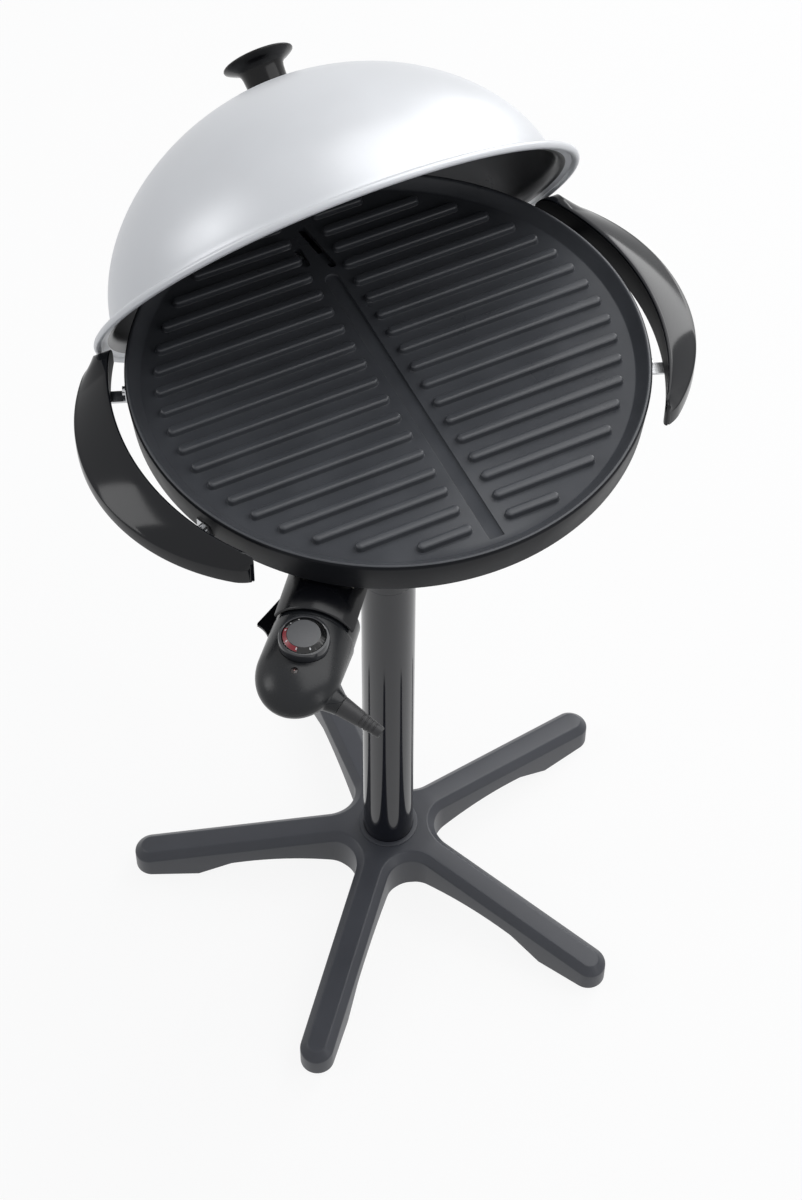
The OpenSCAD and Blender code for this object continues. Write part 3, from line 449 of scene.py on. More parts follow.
def plate_casting():
    shape = bmesh.new()
    wall = [(FLOOR_R, FLOOR_Z), (FLOOR_R + 0.8, FLOOR_Z + 0.25), (FLOOR_R + 1.6, FLOOR_Z + 0.9),
            (FLOOR_R + 8.4, RIM_TOP - 2.6), (FLOOR_R + 9.3, RIM_TOP - 1.4),
            (RIM_R - RIM_W + 0.2, RIM_TOP - 0.5), (RIM_R - RIM_W + 1.1, RIM_TOP),
            (RIM_R - 2.5, RIM_TOP), (RIM_R - 1.2, RIM_TOP - 0.5), (RIM_R - 0.35, RIM_TOP - 1.4),
            (RIM_R, RIM_TOP - 2.8), (RIM_R - 0.1, RIM_TOP - 3.8), (SKIRT_R + 0.2, SKIRT_Z + 1.2),
            (SKIRT_R - 0.3, SKIRT_Z + 0.3), (SKIRT_R - 1.0, SKIRT_Z), (SKIRT_IN + 0.7, SKIRT_Z),
            (SKIRT_IN, SKIRT_Z + 0.6), (SKIRT_IN + 0.9, FLOOR_UNDER + 0.5),
            (SKIRT_IN + 0.5, FLOOR_UNDER + 2), (FLOOR_R + 4, FLOOR_UNDER), (FLOOR_R, FLOOR_UNDER)]
    rings = [loop(shape, circle(r, z, PLATE_STEPS)) for r, z in wall]
    skin_along(shape, rings)

    def edges_of(ring):
        found = []
        for a, b in zip(ring, ring[1:] + ring[:1]):
            found.append(shape.edges.get((a, b)) or shape.edges.new((a, b)))
        return found

    top, under = edges_of(rings[0]), edges_of(rings[-1])
    # drain slots, right through the floor
    for slot in DRAIN_SLOTS:
        high = loop(shape, [(x, y, FLOOR_Z) for x, y in slot_outline(*slot)])
        low = loop(shape, [(x, y, FLOOR_UNDER) for x, y in slot_outline(*slot)])
        skin_between(shape, high, low)
        top += edges_of(high)
        under += edges_of(low)
    # fat channel, with a softened edge and a flat bottom
    steps = []
    for draw, z in ((0, FLOOR_Z), (0.25, FLOOR_Z - 0.35), (0.6, FLOOR_Z - 1.8),
                    (1.3, FLOOR_Z - CHANNEL_DEEP)):
        shrink = 1 - draw / (CHANNEL_WIDE / 2)
        steps.append(loop(shape, [(x * shrink, y - draw * (1 if y > 0 else -1), z)
                                  for x, y in channel_outline()]))
    skin_along(shape, steps)
    shape.faces.new(steps[-1])
    top += edges_of(steps[0])
    bmesh.ops.triangle_fill(shape, edges=top, use_beauty=True)
    bmesh.ops.triangle_fill(shape, edges=under, use_beauty=True)
    for row in range(RIB_ROWS):
        y = (row - (RIB_ROWS - 1) / 2) * RIB_PITCH
        x = sqrt(RIB_END_R ** 2 - y * y)
        if x - RIB_START > 2 * RIB_WIDE:
            rib(shape, RIB_START, x, y)
            rib(shape, -x, -RIB_START, y)
    # ridge cast round the element, the boss of the terminal block, and the four strap pads
    rooted = FLOOR_UNDER + 0.2
    inside, outside = RIDGE_R - RIDGE_HALF, RIDGE_R + RIDGE_HALF
    turned(shape, [(inside, rooted), (inside, RIDGE_LOW + 0.8), (inside + 0.6, RIDGE_LOW),
                   (outside - 0.6, RIDGE_LOW), (outside, RIDGE_LOW + 0.8), (outside, rooted)])
    block(shape, (BOSS_IN, -BOSS_HALF, BOSS_LOW), (BOSS_OUT, BOSS_HALF, rooted), 1.2,
          Matrix.Rotation(CONTROL_AIM, 4, "Z"))
    strap_turn = asin(STRAP_Y / SKIRT_R)
    for half_turn in (0, pi):
        for side in (-1, 1):
            block(shape, (SKIRT_IN, -STRAP_HALF, SKIRT_Z),
                  (SKIRT_R + 1.6, STRAP_HALF, STRAP_PAD_TOP), 0.5,
                  Matrix.Rotation(half_turn + side * strap_turn, 4, "Z"))
    return shape


def coat(piece, skin, picks, place=None):
    """Gives a second finish to the faces that a rule picks by their middle, in millimetres."""
    piece.data.materials.append(skin)
    back = (place or Matrix()).inverted()
    for face in piece.data.polygons:
        if picks(back @ (face.center / MM)):
            face.material_index = len(piece.data.materials) - 1


nonstick = grained("non-stick coat", tone(72, 74, 78), 0.33, grain=1700, depth=0.00007,
                   cloud=0.08, spread=0.18, specular=0.35)
skirt_enamel = grained("skirt enamel", tone(30, 31, 34), 0.4, grain=900, depth=0.00003,
                       spread=0.15, specular=0.07)
plate = fit("plate_casting", plate_casting(), "plate", nonstick, ["grill_plate"],
            sharp=35)
coat(plate, skirt_enamel, lambda p: p.z < RIM_TOP - 0.7 and hypot(p.x, p.y) > SKIRT_R - 0.4)

# ----------------------------------------------------------
# Heating element and its terminals. A sheathed steel rod pressed into the plate's ridge, with
# two plated pins held in a pale ceramic block that is screwed up to the boss.
sheath = grained("element sheath", tone(92, 88, 84), 0.45, grain=600, depth=0.00008, cloud=0.2,
                 metallic=0.8)
ceramic = grained("ceramic", tone(214, 209, 196), 0.6, grain=1200, depth=0.00008)
nickel = grained("nickel plate", tone(205, 203, 196), 0.22, grain=800, depth=0.00002,
                 metallic=1.0)
dress(sheath, "heating_element")
dress(ceramic, "terminal_block", "switch_block")
dress(nickel, "terminal_pins", "probe_rod")
dress(zinc, "block_screws")

# ----------------------------------------------------------
# Shroud of the plug-in socket. An arched cover moulded in gloss black plastic with a rounded
# mouth; it is fixed over the terminal block and keeps fingers and fat off the pins. A flat guard
# with a wing at one side hangs under it on a web.
SHROUD_R = 37.2
SHROUD_IN = 206
SHROUD_OUT = 241
SHROUD_WALL = 2.5
SIDES_IN = 191
SIDE_GAP = 24.6
ARCH_Z = 716.8
SHROUD_LOW = 734
ARCH_STEPS = 72
SIDE_STEPS = 16
GUARD_Z = 700.5
GUARD_IN = 200.2
GUARD_OUT = 240.2
GUARD_SIDE = 24
GUARD_WING = -40
WING_TIP = Vector((229.7, -49.7))
WING_TIP_R = 1.5
WING_SWEEP = Vector((250.2, -56.7))
WING_SWEEP_R = 20
WEB_HALF = 22
WEB_TOP = 734.6
# notches in the web: from, to and bottom of each pin's, then half width and bottom of the probe's
PIN_NOTCH = (7, 15, 732.4)
PROBE_NOTCH = (4, 732.8)
control_turn = Matrix.Rotation(CONTROL_AIM, 4, "Z")


def shroud():
    shape = bmesh.new()
    inner = SHROUD_R - SHROUD_WALL
    section = [(SHROUD_IN, inner), (SHROUD_IN, SHROUD_R - 0.8), (SHROUD_IN + 0.8, SHROUD_R),
               (SHROUD_OUT - 1.6, SHROUD_R), (SHROUD_OUT - 0.7, SHROUD_R - 0.25),
               (SHROUD_OUT - 0.15, SHROUD_R - 0.8), (SHROUD_OUT, SHROUD_R - 1.3),
               (SHROUD_OUT - 0.3, inner + 0.35), (SHROUD_OUT - 0.9, inner)]
    start = asin((SHROUD_LOW - ARCH_Z) / SHROUD_R)
    bearings = [start + (pi - 2 * start) * k / ARCH_STEPS for k in range(ARCH_STEPS + 1)]
    ribs = [loop(shape, [(x, -r * cos(a), ARCH_Z + r * sin(a)) for x, r in section])
            for a in bearings]
    skin_along(shape, ribs, capped=True)
    # back wall
    rim = inner + 0.4
    back = [loop(shape, [(x, -rim * cos(a), ARCH_Z + rim * sin(a)) for a in bearings])
            for x in (SHROUD_IN, SHROUD_IN + SHROUD_WALL)]
    skin_along(shape, back, capped=True)
    # sides that run in past the terminal block
    finish = pi / 2 - asin(SIDE_GAP / SHROUD_R)
    section = [(SIDES_IN + 0.5, inner), (SIDES_IN, inner + 0.5), (SIDES_IN, SHROUD_R - 0.8),
               (SIDES_IN + 0.8, SHROUD_R), (SHROUD_IN + 0.9, SHROUD_R), (SHROUD_IN + 0.9, inner)]
    for side in (-1, 1):
        ribs = []
        for k in range(SIDE_STEPS + 1):
            a = start + (finish - start) * k / SIDE_STEPS
            ribs.append(loop(shape, [(x, side * r * cos(a), ARCH_Z + r * sin(a))
                                     for x, r in section]))
        skin_along(shape, ribs, capped=True)
    return shape


def guard():
    """Flat guard under the socket, with its wing, and the web that carries it."""
    shape = bmesh.new()
    outline = [(GUARD_IN, GUARD_SIDE), (GUARD_IN, GUARD_WING)]
    outline += [(WING_TIP.x + WING_TIP_R * cos(a), WING_TIP.y + WING_TIP_R * sin(a))
                for a in (radians(250 + 90 * k / 6) for k in range(7))]
    outline += [(WING_SWEEP.x + WING_SWEEP_R * cos(a), WING_SWEEP.y + WING_SWEEP_R * sin(a))
                for a in (radians(162 - 42 * k / 14) for k in range(15))]
    outline += [(GUARD_OUT, GUARD_SIDE)]
    rims = skin_along(shape, [loop(shape, [(x, y, z) for x, y in outline])
                              for z in (GUARD_Z, GUARD_Z + SHROUD_WALL)], capped=True)
    bmesh.ops.bevel(shape, geom=list(dict.fromkeys(e for f in rims for e in f.edges)),
                    offset=0.35, segments=2, affect="EDGES")
    # the web's top edge has three notches, round the pins and the probe
    pin_in, pin_out, pin_z = PIN_NOTCH
    probe_out, probe_z = PROBE_NOTCH
    right = [(WEB_HALF, WEB_TOP), (pin_out, WEB_TOP), (pin_out, pin_z), (pin_in, pin_z),
             (pin_in, WEB_TOP), (probe_out, WEB_TOP), (probe_out, probe_z)]
    edge = [(-WEB_HALF, GUARD_Z + 1), (WEB_HALF, GUARD_Z + 1)] + right
    edge += [(-y, z) for y, z in reversed(right)]
    skin_along(shape, [loop(shape, [(x, y, z) for y, z in edge])
                       for x in (SHROUD_IN + 0.5, SHROUD_IN + SHROUD_WALL)], capped=True)
    return shape


def take_in(shape, other):
    """Adds the surface of a second shape, which is used up."""
    mesh = mesh_of("taken in", other)
    shape.from_mesh(mesh)
    bpy.data.meshes.remove(mesh)


shroud_black = grained("shroud black", tone(17, 18, 22), 0.17, grain=900, depth=0.00002,
                       spread=0.2, specular=0.3)
cover = shroud()
take_in(cover, guard())
fit("shroud_cover", cover, "plate", shroud_black, ["socket_shroud"],
    place=control_turn)

# ----------------------------------------------------------
# Side handles. Crescents moulded in gloss black plastic, hollow below, with a thin lip along
# the inner edge. The rear end of each is rounded up into a nose that the open lid rests on.
GRIP_IN_R = 233
GRIP_REACH = 269.95
GRIP_ARC_R = 175
GRIP_ARC_X = GRIP_REACH - GRIP_ARC_R
GRIP_FRONT = 144
NOSE_R = 18.6
NOSE_Y = 101
GRIP_REAR = NOSE_Y + NOSE_R
GRIP_LOW = 761
GRIP_WALL = 3
GRIP_DROP = 18
GRIP_DROP_EASE = 5
GRIP_LIP = 3
LIP_WIDENS_FROM = 50
LIP_WIDENS_LONG = 30
CROWN_STEPS = 12
GRIP_STEPS = 150
TIP_ROUND = 6
TIP_FALL_LONG = 10
TIP_FALL = 10
REAR_TAPER = 16
REAR_PULL = 9
NOSE_Z = RIM_TOP - NOSE_R
LIP_WIDE_X = 218.8


def soft_step(t):
    t = min(1, max(0, t))
    return t * t * (3 - 2 * t)


def quarter(t):
    """Rises from 0 to 1 along a quarter of a circle."""
    return sqrt(max(0, 1 - (1 - t) ** 2))


def nose_top(y):
    """Height of the handle's top: level, then down round the nose."""
    return RIM_TOP if y <= NOSE_Y else NOSE_Z + sqrt(max(0, NOSE_R ** 2 - (y - NOSE_Y) ** 2))


def grip_section(y, hollow):
    """Cross-section at one place along the handle, as (x, z) points round the wall."""
    inside = sqrt(GRIP_IN_R ** 2 - y * y)
    outside = GRIP_ARC_X + sqrt(GRIP_ARC_R ** 2 - y * y)
    ahead = GRIP_FRONT + y
    behind = GRIP_REAR - y
    if behind < REAR_TAPER:
        outside -= REAR_PULL * (1 - quarter(behind / REAR_TAPER))
    tip = 1 if ahead > TIP_ROUND else quarter(ahead / TIP_ROUND)
    mid, half = (inside + outside) / 2, max(1.2, (outside - inside) / 2 * tip)
    xi, xo = mid - half, mid + half
    high = nose_top(y)
    if ahead < TIP_FALL_LONG:
        high -= TIP_FALL * (1 - quarter(ahead / TIP_FALL_LONG))
    ease = GRIP_DROP_EASE * (y / GRIP_FRONT) ** 2 if y < 0 else 0
    low = min(high - 0.4, RIM_TOP - GRIP_DROP + ease)
    wider = soft_step((y - LIP_WIDENS_FROM) / LIP_WIDENS_LONG)
    lip = GRIP_LIP + wider * max(0, LIP_WIDE_X - inside - GRIP_LIP)
    xl = min(xi + lip, xi + 1.4 * half)
    wall = min(GRIP_WALL, 0.5 * half)
    ceiling = low - 2 - wall if hollow else GRIP_LOW + 0.5
    crown = max(ceiling + 0.3, high - wall - 1) if hollow else GRIP_LOW + 1
    edge = min(1, 0.12 * half)
    drop = high - low
    top = []
    # crowned top from the lip down to the outer edge
    for k in range(CROWN_STEPS + 1):
        t = k / CROWN_STEPS
        x = xl + (xo - edge * 1.2 - xl) * t
        z = high - 0.1 - (drop - 0.2) * (t ** 1.06) + 0.12 * half * t * (1 - t)
        top.append((x, min(z, high)))
    outer = [(xo - 0.35 * edge, low - 0.25 * edge), (xo, low - 1.3 * edge)]
    return ([(xi, GRIP_LOW), (xi, high - 1.4), (xi + 0.2 * edge, high - 0.6),
             (xi + 0.6 * edge, high - 0.15), (xi + 1.2 * edge, high)] + top + outer +
            [(xo, GRIP_LOW), (xo - wall, GRIP_LOW), (xo - wall, ceiling),
             (max(xl - wall / 2, xi + wall + 0.2), crown), (xi + wall, crown),
             (xi + wall, GRIP_LOW)])


def grip():
    shape = bmesh.new()
    middle = (GRIP_REAR - GRIP_FRONT) / 2
    reach = (GRIP_REAR + GRIP_FRONT) / 2 - 0.02
    rings = []
    for k in range(GRIP_STEPS + 1):
        y = middle - reach * cos(pi * k / GRIP_STEPS)
        hollow = GRIP_FRONT + y > 4 and GRIP_REAR - y > 3
        rings.append(loop(shape, [(x, y, z) for x, z in grip_section(y, hollow)]))
    skin_along(shape, rings, capped=True)
    return shape


gloss_black = grained("gloss black plastic", tone(15, 17, 22), 0.1, grain=300, depth=0.00001,
                      spread=0.2, specular=0.26)
inside_black = grained("handle inside", tone(22, 23, 26), 0.55, grain=900, depth=0.00003,
                       specular=0.08)
for side, name in ((1, "right"), (-1, "left")):
    moulding = fit("handle_moulding_" + name, grip(), "plate", gloss_black,
                   ["handle_" + name], sharp=38, place=Matrix.Scale(side, 4, Vector((1, 0, 0))))
    coat(moulding, inside_black,
         lambda p: p.z < nose_top(p.y) - 3 and hypot(p.x, p.y) < GRIP_IN_R + 0.6)

# ----------------------------------------------------------
# Handle straps and screws. Bent plated steel strip between the skirt's pads and the inside of
# each handle, with pan-head screws.
bright_steel = grained("bright steel", tone(190, 191, 193), 0.2, grain=500, depth=0.00003,
                       metallic=1.0, spread=0.3)
dress(bright_steel, "handle_straps", "handle_screws")

# ----------------------------------------------------------
# Lid. A deep dome spun from thin aluminium, satin silver outside, that flares
# into a brim with its edge rolled into a bead. Its inside is painted dark as painted shade, for
# the shade inside the dome and the dark plate reflected there. It leans open on the noses of the
# two handles.
LID_R = 219.67
BRIM_WIDE = 18.9
DOME_R = LID_R - BRIM_WIDE
LID_H = 158.15
DOME_POWER = 1.91
LID_T = 1.2
BEAD_R = 3.5
BEAD_MID = LID_R - BEAD_R
BRIM_FOOT = 16
KNOB_SEAT_R = 21
KNOB_HOLE_R = 2.4
DOME_STEPS = 44
FLARE_STEPS = 12
BEAD_STEPS = 24
LID_STEPS = 256
# level, it would lie this far behind the plate's middle; open, it has rocked back on the noses
LID_BACK = 58
LID_CLEAR = 0.3
LID_OPEN = radians(-59.7)
lid_place = (Matrix.Translation((0, NOSE_Y, NOSE_Z)) @ Matrix.Rotation(LID_OPEN, 4, "X")
             @ Matrix.Translation((0, LID_BACK - NOSE_Y, NOSE_R + LID_CLEAR)))


def dome_height(r):
    return LID_H * (1 - (r / DOME_R) ** DOME_POWER) ** (1 / DOME_POWER)


def dome_radius(z):
    return DOME_R * (1 - (z / LID_H) ** DOME_POWER) ** (1 / DOME_POWER)


SEAT_Z = dome_height(KNOB_SEAT_R)


def spun_lid():
    outer = []
    for k in range(DOME_STEPS + 1):
        a = pi / 2 * k / DOME_STEPS
        z = BRIM_FOOT + (SEAT_Z - BRIM_FOOT) * cos(a)
        outer.append((KNOB_SEAT_R if k == 0 else dome_radius(z), z))
    foot_r = outer[-1][0]
    # smooth flare from the foot of the dome out to the rolled edge
    start, ease_out = Vector((foot_r, BRIM_FOOT)), Vector((foot_r + 0.7, BRIM_FOOT - 7.5))
    ease_in, end = Vector((foot_r + 3.0, 6.4)), Vector((foot_r + 8.0, BEAD_R + LID_T + 0.6))
    for k in range(1, FLARE_STEPS + 1):
        t = k / FLARE_STEPS
        p = ((1 - t) ** 3 * start + 3 * (1 - t) ** 2 * t * ease_out
             + 3 * (1 - t) * t * t * ease_in + t ** 3 * end)
        outer.append((p.x, p.y))
    turn = pi - asin(LID_T / (2 * BEAD_R))
    roll = []
    for k in range(BEAD_STEPS + 1):
        a = turn - 2 * turn * k / BEAD_STEPS
        roll.append((BEAD_MID + BEAD_R * cos(a), BEAD_R + BEAD_R * sin(a)))
    inner = []
    for k in range(len(outer) - 1, -1, -1):
        r, z = outer[k]
        back, ahead = outer[max(0, k - 1)], outer[min(len(outer) - 1, k + 1)]
        way = Vector((ahead[0] - back[0], ahead[1] - back[1])).normalized()
        inner.append((r + way.y * LID_T, z - way.x * LID_T))
    inner[-1] = (KNOB_SEAT_R, SEAT_Z - LID_T)
    profile = [(KNOB_HOLE_R, SEAT_Z)] + outer + roll + inner + [(KNOB_HOLE_R, SEAT_Z - LID_T)]
    shape = turned(bmesh.new(), profile, LID_STEPS)
    # the inner face of the dome takes the second finish: painted shade, dark for the shade inside
    # the dome and the dark plate reflected there
    shape.faces.ensure_lookup_table()
    for face in shape.faces[(1 + len(outer) + len(roll)) * LID_STEPS:]:
        face.material_index = 1
    return shape


satin_silver = grained("satin silver", tone(214, 216, 219), 0.4, grain=2600, depth=0.00003,
                       cloud=0.015, metallic=0.3, spread=0.1)
# painted shade: the inside of the dome is coloured dark to stand for its shade and the dark plate
# reflected in it
lid_inside_painted_shade = grained("lid inside painted shade", tone(58, 59, 62), 0.3, grain=1200, depth=0.00003,
                     cloud=0.08, metallic=0.4, spread=0.12)
lid = fit("lid_dome", spun_lid(), "lid", satin_silver, ["lid_shell"], sharp=40,
          place=lid_place)
# second finish, the painted shade, for the inner faces of the dome
lid.data.materials.append(lid_inside_painted_shade)

# ----------------------------------------------------------
# Lid knob. Turned-looking knob moulded in gloss black heatproof plastic: a stout stem that
# swells into a broad flat disc. A plated washer and one screw from inside hold it on.
KNOB_FOOT = SEAT_Z + 1.2
KNOB_DISC = KNOB_FOOT + 25.85
KNOB_STEM_R = 18
KNOB_R = 31.4
KNOB_HOLE_LONG = 14


def knob():
    """Turned up from the foot, out under the disc, over its top and down the screw's hole."""
    stem, foot, disc, rim = KNOB_STEM_R, KNOB_FOOT, KNOB_DISC, KNOB_R
    profile = [(KNOB_HOLE_R, foot), (stem - 0.6, foot), (stem, foot + 0.6),
               (stem + 0.05, foot + 6), (stem + 0.3, foot + 10), (stem + 0.6, disc - 12),
               (stem + 1.2, disc - 9), (stem + 2.2, disc - 7.2), (stem + 4.2, disc - 5.5),
               (stem + 7.0, disc - 4.1), (rim - 3.0, disc - 2.2), (rim - 1.2, disc - 1.1),
               (rim - 0.35, disc - 0.45), (rim, disc + 0.4), (rim - 0.25, disc + 1.2),
               (rim - 1.0, disc + 1.8), (rim - 3, disc + 2.35), (rim * 0.75, disc + 3.2),
               (rim * 0.55, disc + 4.1), (rim * 0.3, disc + 4.75), (rim * 0.12, disc + 4.97),
               (0, disc + 5), (0, foot + KNOB_HOLE_LONG), (KNOB_HOLE_R, foot + KNOB_HOLE_LONG)]
    return turned(bmesh.new(), profile, 128)


knob_black = grained("knob black", tone(10, 10, 12), 0.17, grain=300, depth=0.00001, spread=0.2,
                    specular=0.22)
fit("knob_turning", knob(), "lid", knob_black, ["lid_knob"], sharp=40,
    place=lid_place)
dress(bright_steel, "knob_washer")
dress(zinc, "knob_screw")

# ----------------------------------------------------------
# Plug-in thermostat. Two shells moulded in satin black plastic, egg-shaped, with a neck that
# goes under the shroud and a spout for the cord. They part on a level line, and the upper one
# has a round well for the dial.
BODY_MID_X = 285
BODY_HALF = (42, 34.5, 21)
BODY_END = 326.9
BODY_Z = 726.5
BODY_START_R = 34.3
BODY_START_FLAT = ARCH_Z - 12.8
SEAM_HALF = 0.15
NECK_R = 33.5
NECK_FROM = 222
NECK_FLAT = ARCH_Z - 12
SLEEVE_X = 243
PIN_Z = 736
PIN_Y = 11
PIN_HOLE_R = 4.3
PROBE_HOLE_R = 2.7
PIN_HOLE_LONG = 18
DIAL_X = 268.5
WELL_Z = 744
WELL_R = 20.8
LENS_X = 297
LENS_HOLE_R = 3.0
LENS_HOLE_Z = 735
SKIN_STEPS = 64
SPOUT_AT = Vector((301.5, 39, 718))
SPOUT_WAY = Vector((0.277, 0.923, -0.264)).normalized()
spout_place = (Matrix.Translation(SPOUT_AT)
               @ Matrix.Rotation(atan2(SPOUT_WAY.y, SPOUT_WAY.x), 4, "Z")
               @ Matrix.Rotation(SPOUT_WAY.angle(Vector((0, 0, 1))), 4, "Y"))


def arch_points(x, radius, flat):
    """A round arch with a flat underside, seen along X."""
    return [(x, radius * cos(a), max(ARCH_Z + radius * sin(a), flat))
            for a in (2 * pi * k / SKIN_STEPS for k in range(SKIN_STEPS))]


def hull(points):
    shape = bmesh.new()
    made = bmesh.ops.convex_hull(shape, input=loop(shape, points))
    spare = set(made["geom_interior"]) | set(made["geom_unused"])
    bmesh.ops.delete(shape, geom=[g for g in spare if isinstance(g, bmesh.types.BMVert)],
                     context="VERTS")
    return shape


def solid_of(name, shape):
    """A working solid for cutting and joining, thrown away afterwards."""
    bmesh.ops.recalc_face_normals(shape, faces=shape.faces)
    return put(name, mesh_of(name, shape))


def settle(piece):
    """Applies a working solid's modifiers and returns the result as a shape."""
    graph = bpy.context.evaluated_depsgraph_get()
    mesh = bpy.data.meshes.new_from_object(piece.evaluated_get(graph))
    shape = bmesh.new()
    shape.from_mesh(mesh)
    bpy.data.objects.remove(piece)
    return shape


def cut(shape, *cutters):
    """The shape less each of the cutters."""
    piece = solid_of("blank", shape)
    tools = []
    for cutter in cutters:
        tool = solid_of("cutter", cutter)
        tools.append(tool)
        bite = piece.modifiers.new("bite", "BOOLEAN")
        bite.operation = "DIFFERENCE"
        bite.object = tool
        bite.solver = "EXACT"
    bpy.context.view_layer.update()
    result = settle(piece)
    for tool in tools:
        bpy.data.objects.remove(tool)
    return result


def rod(radius, start, way, length):
    """A plain rod for cutting with."""
    turn = Vector(way).to_track_quat("Z", "Y").to_matrix().to_4x4()
    return turned(bmesh.new(), [(0, 0), (radius, 0), (radius, length), (0, length)], SKIN_STEPS,
                  closed=False, place=Matrix.Translation(start) @ turn)


def control_blank():
    """Body, neck and flared spout, melted into one rounded skin."""
    points = arch_points(SLEEVE_X, BODY_START_R, BODY_START_FLAT)
    points += arch_points(SLEEVE_X + 1, BODY_START_R, BODY_START_FLAT)
    for i in range(1, SKIN_STEPS // 2):
        for k in range(SKIN_STEPS):
            a, b = 2 * pi * i / SKIN_STEPS, 2 * pi * k / SKIN_STEPS
            points.append((BODY_MID_X - BODY_HALF[0] * cos(a),
                           BODY_HALF[1] * sin(a) * cos(b),
                           BODY_Z + BODY_HALF[2] * sin(a) * sin(b)))
    shape = hull([p for p in points if p[0] <= BODY_END])
    spout = turned(bmesh.new(), [(0, -30), (22, -30), (18.5, -22), (14, -14), (10.9, -7),
                                 (9.3, -2.5), (8.9, 0), (0, 0)], SKIN_STEPS, closed=False,
                   place=spout_place)
    # the wide root is flattened, so that it stays inside the body
    for v in spout.verts:
        back = -(spout_place.inverted() @ v.co).z
        middle = SPOUT_AT.z - back * SPOUT_WAY.z
        v.co.z = middle + (v.co.z - middle) * (1 - 0.5 * min(1, max(0, (back - 3) / 15)))
    take_in(shape, spout)
    melt = solid_of("melt", shape)
    remesh = melt.modifiers.new("melt", "REMESH")
    remesh.mode = "VOXEL"
    remesh.voxel_size = 0.8
    soften = melt.modifiers.new("soften", "SMOOTH")
    soften.factor = 0.5
    soften.iterations = 10
    return settle(melt)


def half_of(shape, level, keep_above):
    """One half of a closed shape, cut level and closed again."""
    part = shape.copy()
    everything = part.verts[:] + part.edges[:] + part.faces[:]
    made = bmesh.ops.bisect_plane(part, geom=everything, plane_co=(0, 0, level),
                                  plane_no=(0, 0, 1), clear_inner=keep_above,
                                  clear_outer=not keep_above)
    rim = [g for g in made["geom_cut"] if isinstance(g, bmesh.types.BMEdge)]
    bmesh.ops.triangle_fill(part, edges=rim, use_beauty=True)
    return part


neck = bmesh.new()
skin_along(neck, [loop(neck, arch_points(x, r, NECK_FLAT)) for x, r in
                  ((NECK_FROM, NECK_R - 0.6), (NECK_FROM + 0.6, NECK_R), (SLEEVE_X + 3, NECK_R))],
           capped=True)
bmesh.ops.remove_doubles(neck, verts=neck.verts, dist=0.001)
neck = cut(neck, *[rod(r, (NECK_FROM - 1, y, PIN_Z), (1, 0, 0), PIN_HOLE_LONG)
                   for r, y in ((PIN_HOLE_R, -PIN_Y), (PIN_HOLE_R, PIN_Y), (PROBE_HOLE_R, 0))])
blank = control_blank()
upper = half_of(blank, BODY_Z + SEAM_HALF, True)
lower = half_of(blank, BODY_Z - SEAM_HALF, False)
blank.free()
well = turned(bmesh.new(), [(0, WELL_Z), (WELL_R, WELL_Z), (WELL_R, WELL_Z + 2),
                            (WELL_R + 0.3, WELL_Z + 3.2), (WELL_R + 1.2, WELL_Z + 5),
                            (WELL_R + 5, WELL_Z + 12), (0, WELL_Z + 12)], 128, closed=False,
              place=Matrix.Translation((DIAL_X, 0, 0)))
upper = cut(upper, well, rod(LENS_HOLE_R, (LENS_X, 0, LENS_HOLE_Z), (0, 0, 1), 30))
take_in(upper, neck)
satin_black = grained("satin black plastic", tone(25, 27, 30), 0.27, grain=2400, depth=0.00004,
                      spread=0.12, specular=0.3)
fit("thermostat_upper_shell", upper, "thermostat", satin_black,
    ["thermostat_top"], sharp=40, place=control_turn)
fit("thermostat_lower_shell", lower, "thermostat", satin_black,
    ["thermostat_bottom"], sharp=40, place=control_turn)

# ----------------------------------------------------------
# Inner parts of the thermostat. Brass sleeves that grip the pins, plated probe, screws and the
# dial's steel shaft.
brass = grained("brass", tone(188, 158, 96), 0.28, grain=500, depth=0.00003, metallic=1.0)
dress(brass, "contact_sleeves")
dress(zinc, "thermostat_screws", "dial_shaft")

# ----------------------------------------------------------
# Dial. Black plastic cap with a satin dark grey top, a sloping gloss rim and fluted sides. A red
# arc and white marks are printed on the rim. It turns in the well on its steel shaft.
DIAL_R = 17.6
DISC_R = 13.4
CONE_R = 17.2
CONE_DROP = 3
DIAL_LOW = 744.3
DIAL_TOP = 758
SHAFT_R = 3
FLUTES = 36
FLUTE_DEEP = 0.22
# inner and outer radius, then first and last bearing in degrees
RED_ARC = (13.9, 16.9, -100, -5)
MARK_FROM = 14.3
MARK_TO = 15.8
MARK_HALF = 1.9
MARK_BEARINGS = (-150, -122, -92, -50, -8, 35)


def dial():
    shape = bmesh.new()
    profile = [(SHAFT_R, DIAL_LOW), (DIAL_R - 0.5, DIAL_LOW), (DIAL_R, DIAL_LOW + 0.5),
               (DIAL_R, DIAL_TOP - CONE_DROP - 0.6), (DIAL_R - 0.1, DIAL_TOP - CONE_DROP - 0.2),
               (CONE_R, DIAL_TOP - CONE_DROP), (DISC_R + 0.4, DIAL_TOP - 0.35),
               (DISC_R, DIAL_TOP - 0.06), (DISC_R - 0.4, DIAL_TOP), (0, DIAL_TOP),
               (0, DIAL_TOP - 4), (SHAFT_R, DIAL_TOP - 4)]
    turned(shape, profile, 6 * FLUTES, place=Matrix.Translation((DIAL_X, 0, 0)))
    for v in shape.verts:
        side = Vector((v.co.x - DIAL_X, v.co.y))
        if side.length > DIAL_R - 0.2:
            flute = FLUTE_DEEP * max(0, cos(FLUTES * atan2(side.y, side.x)))
            side *= 1 - flute / DIAL_R
            v.co.x, v.co.y = DIAL_X + side.x, side.y
    return shape


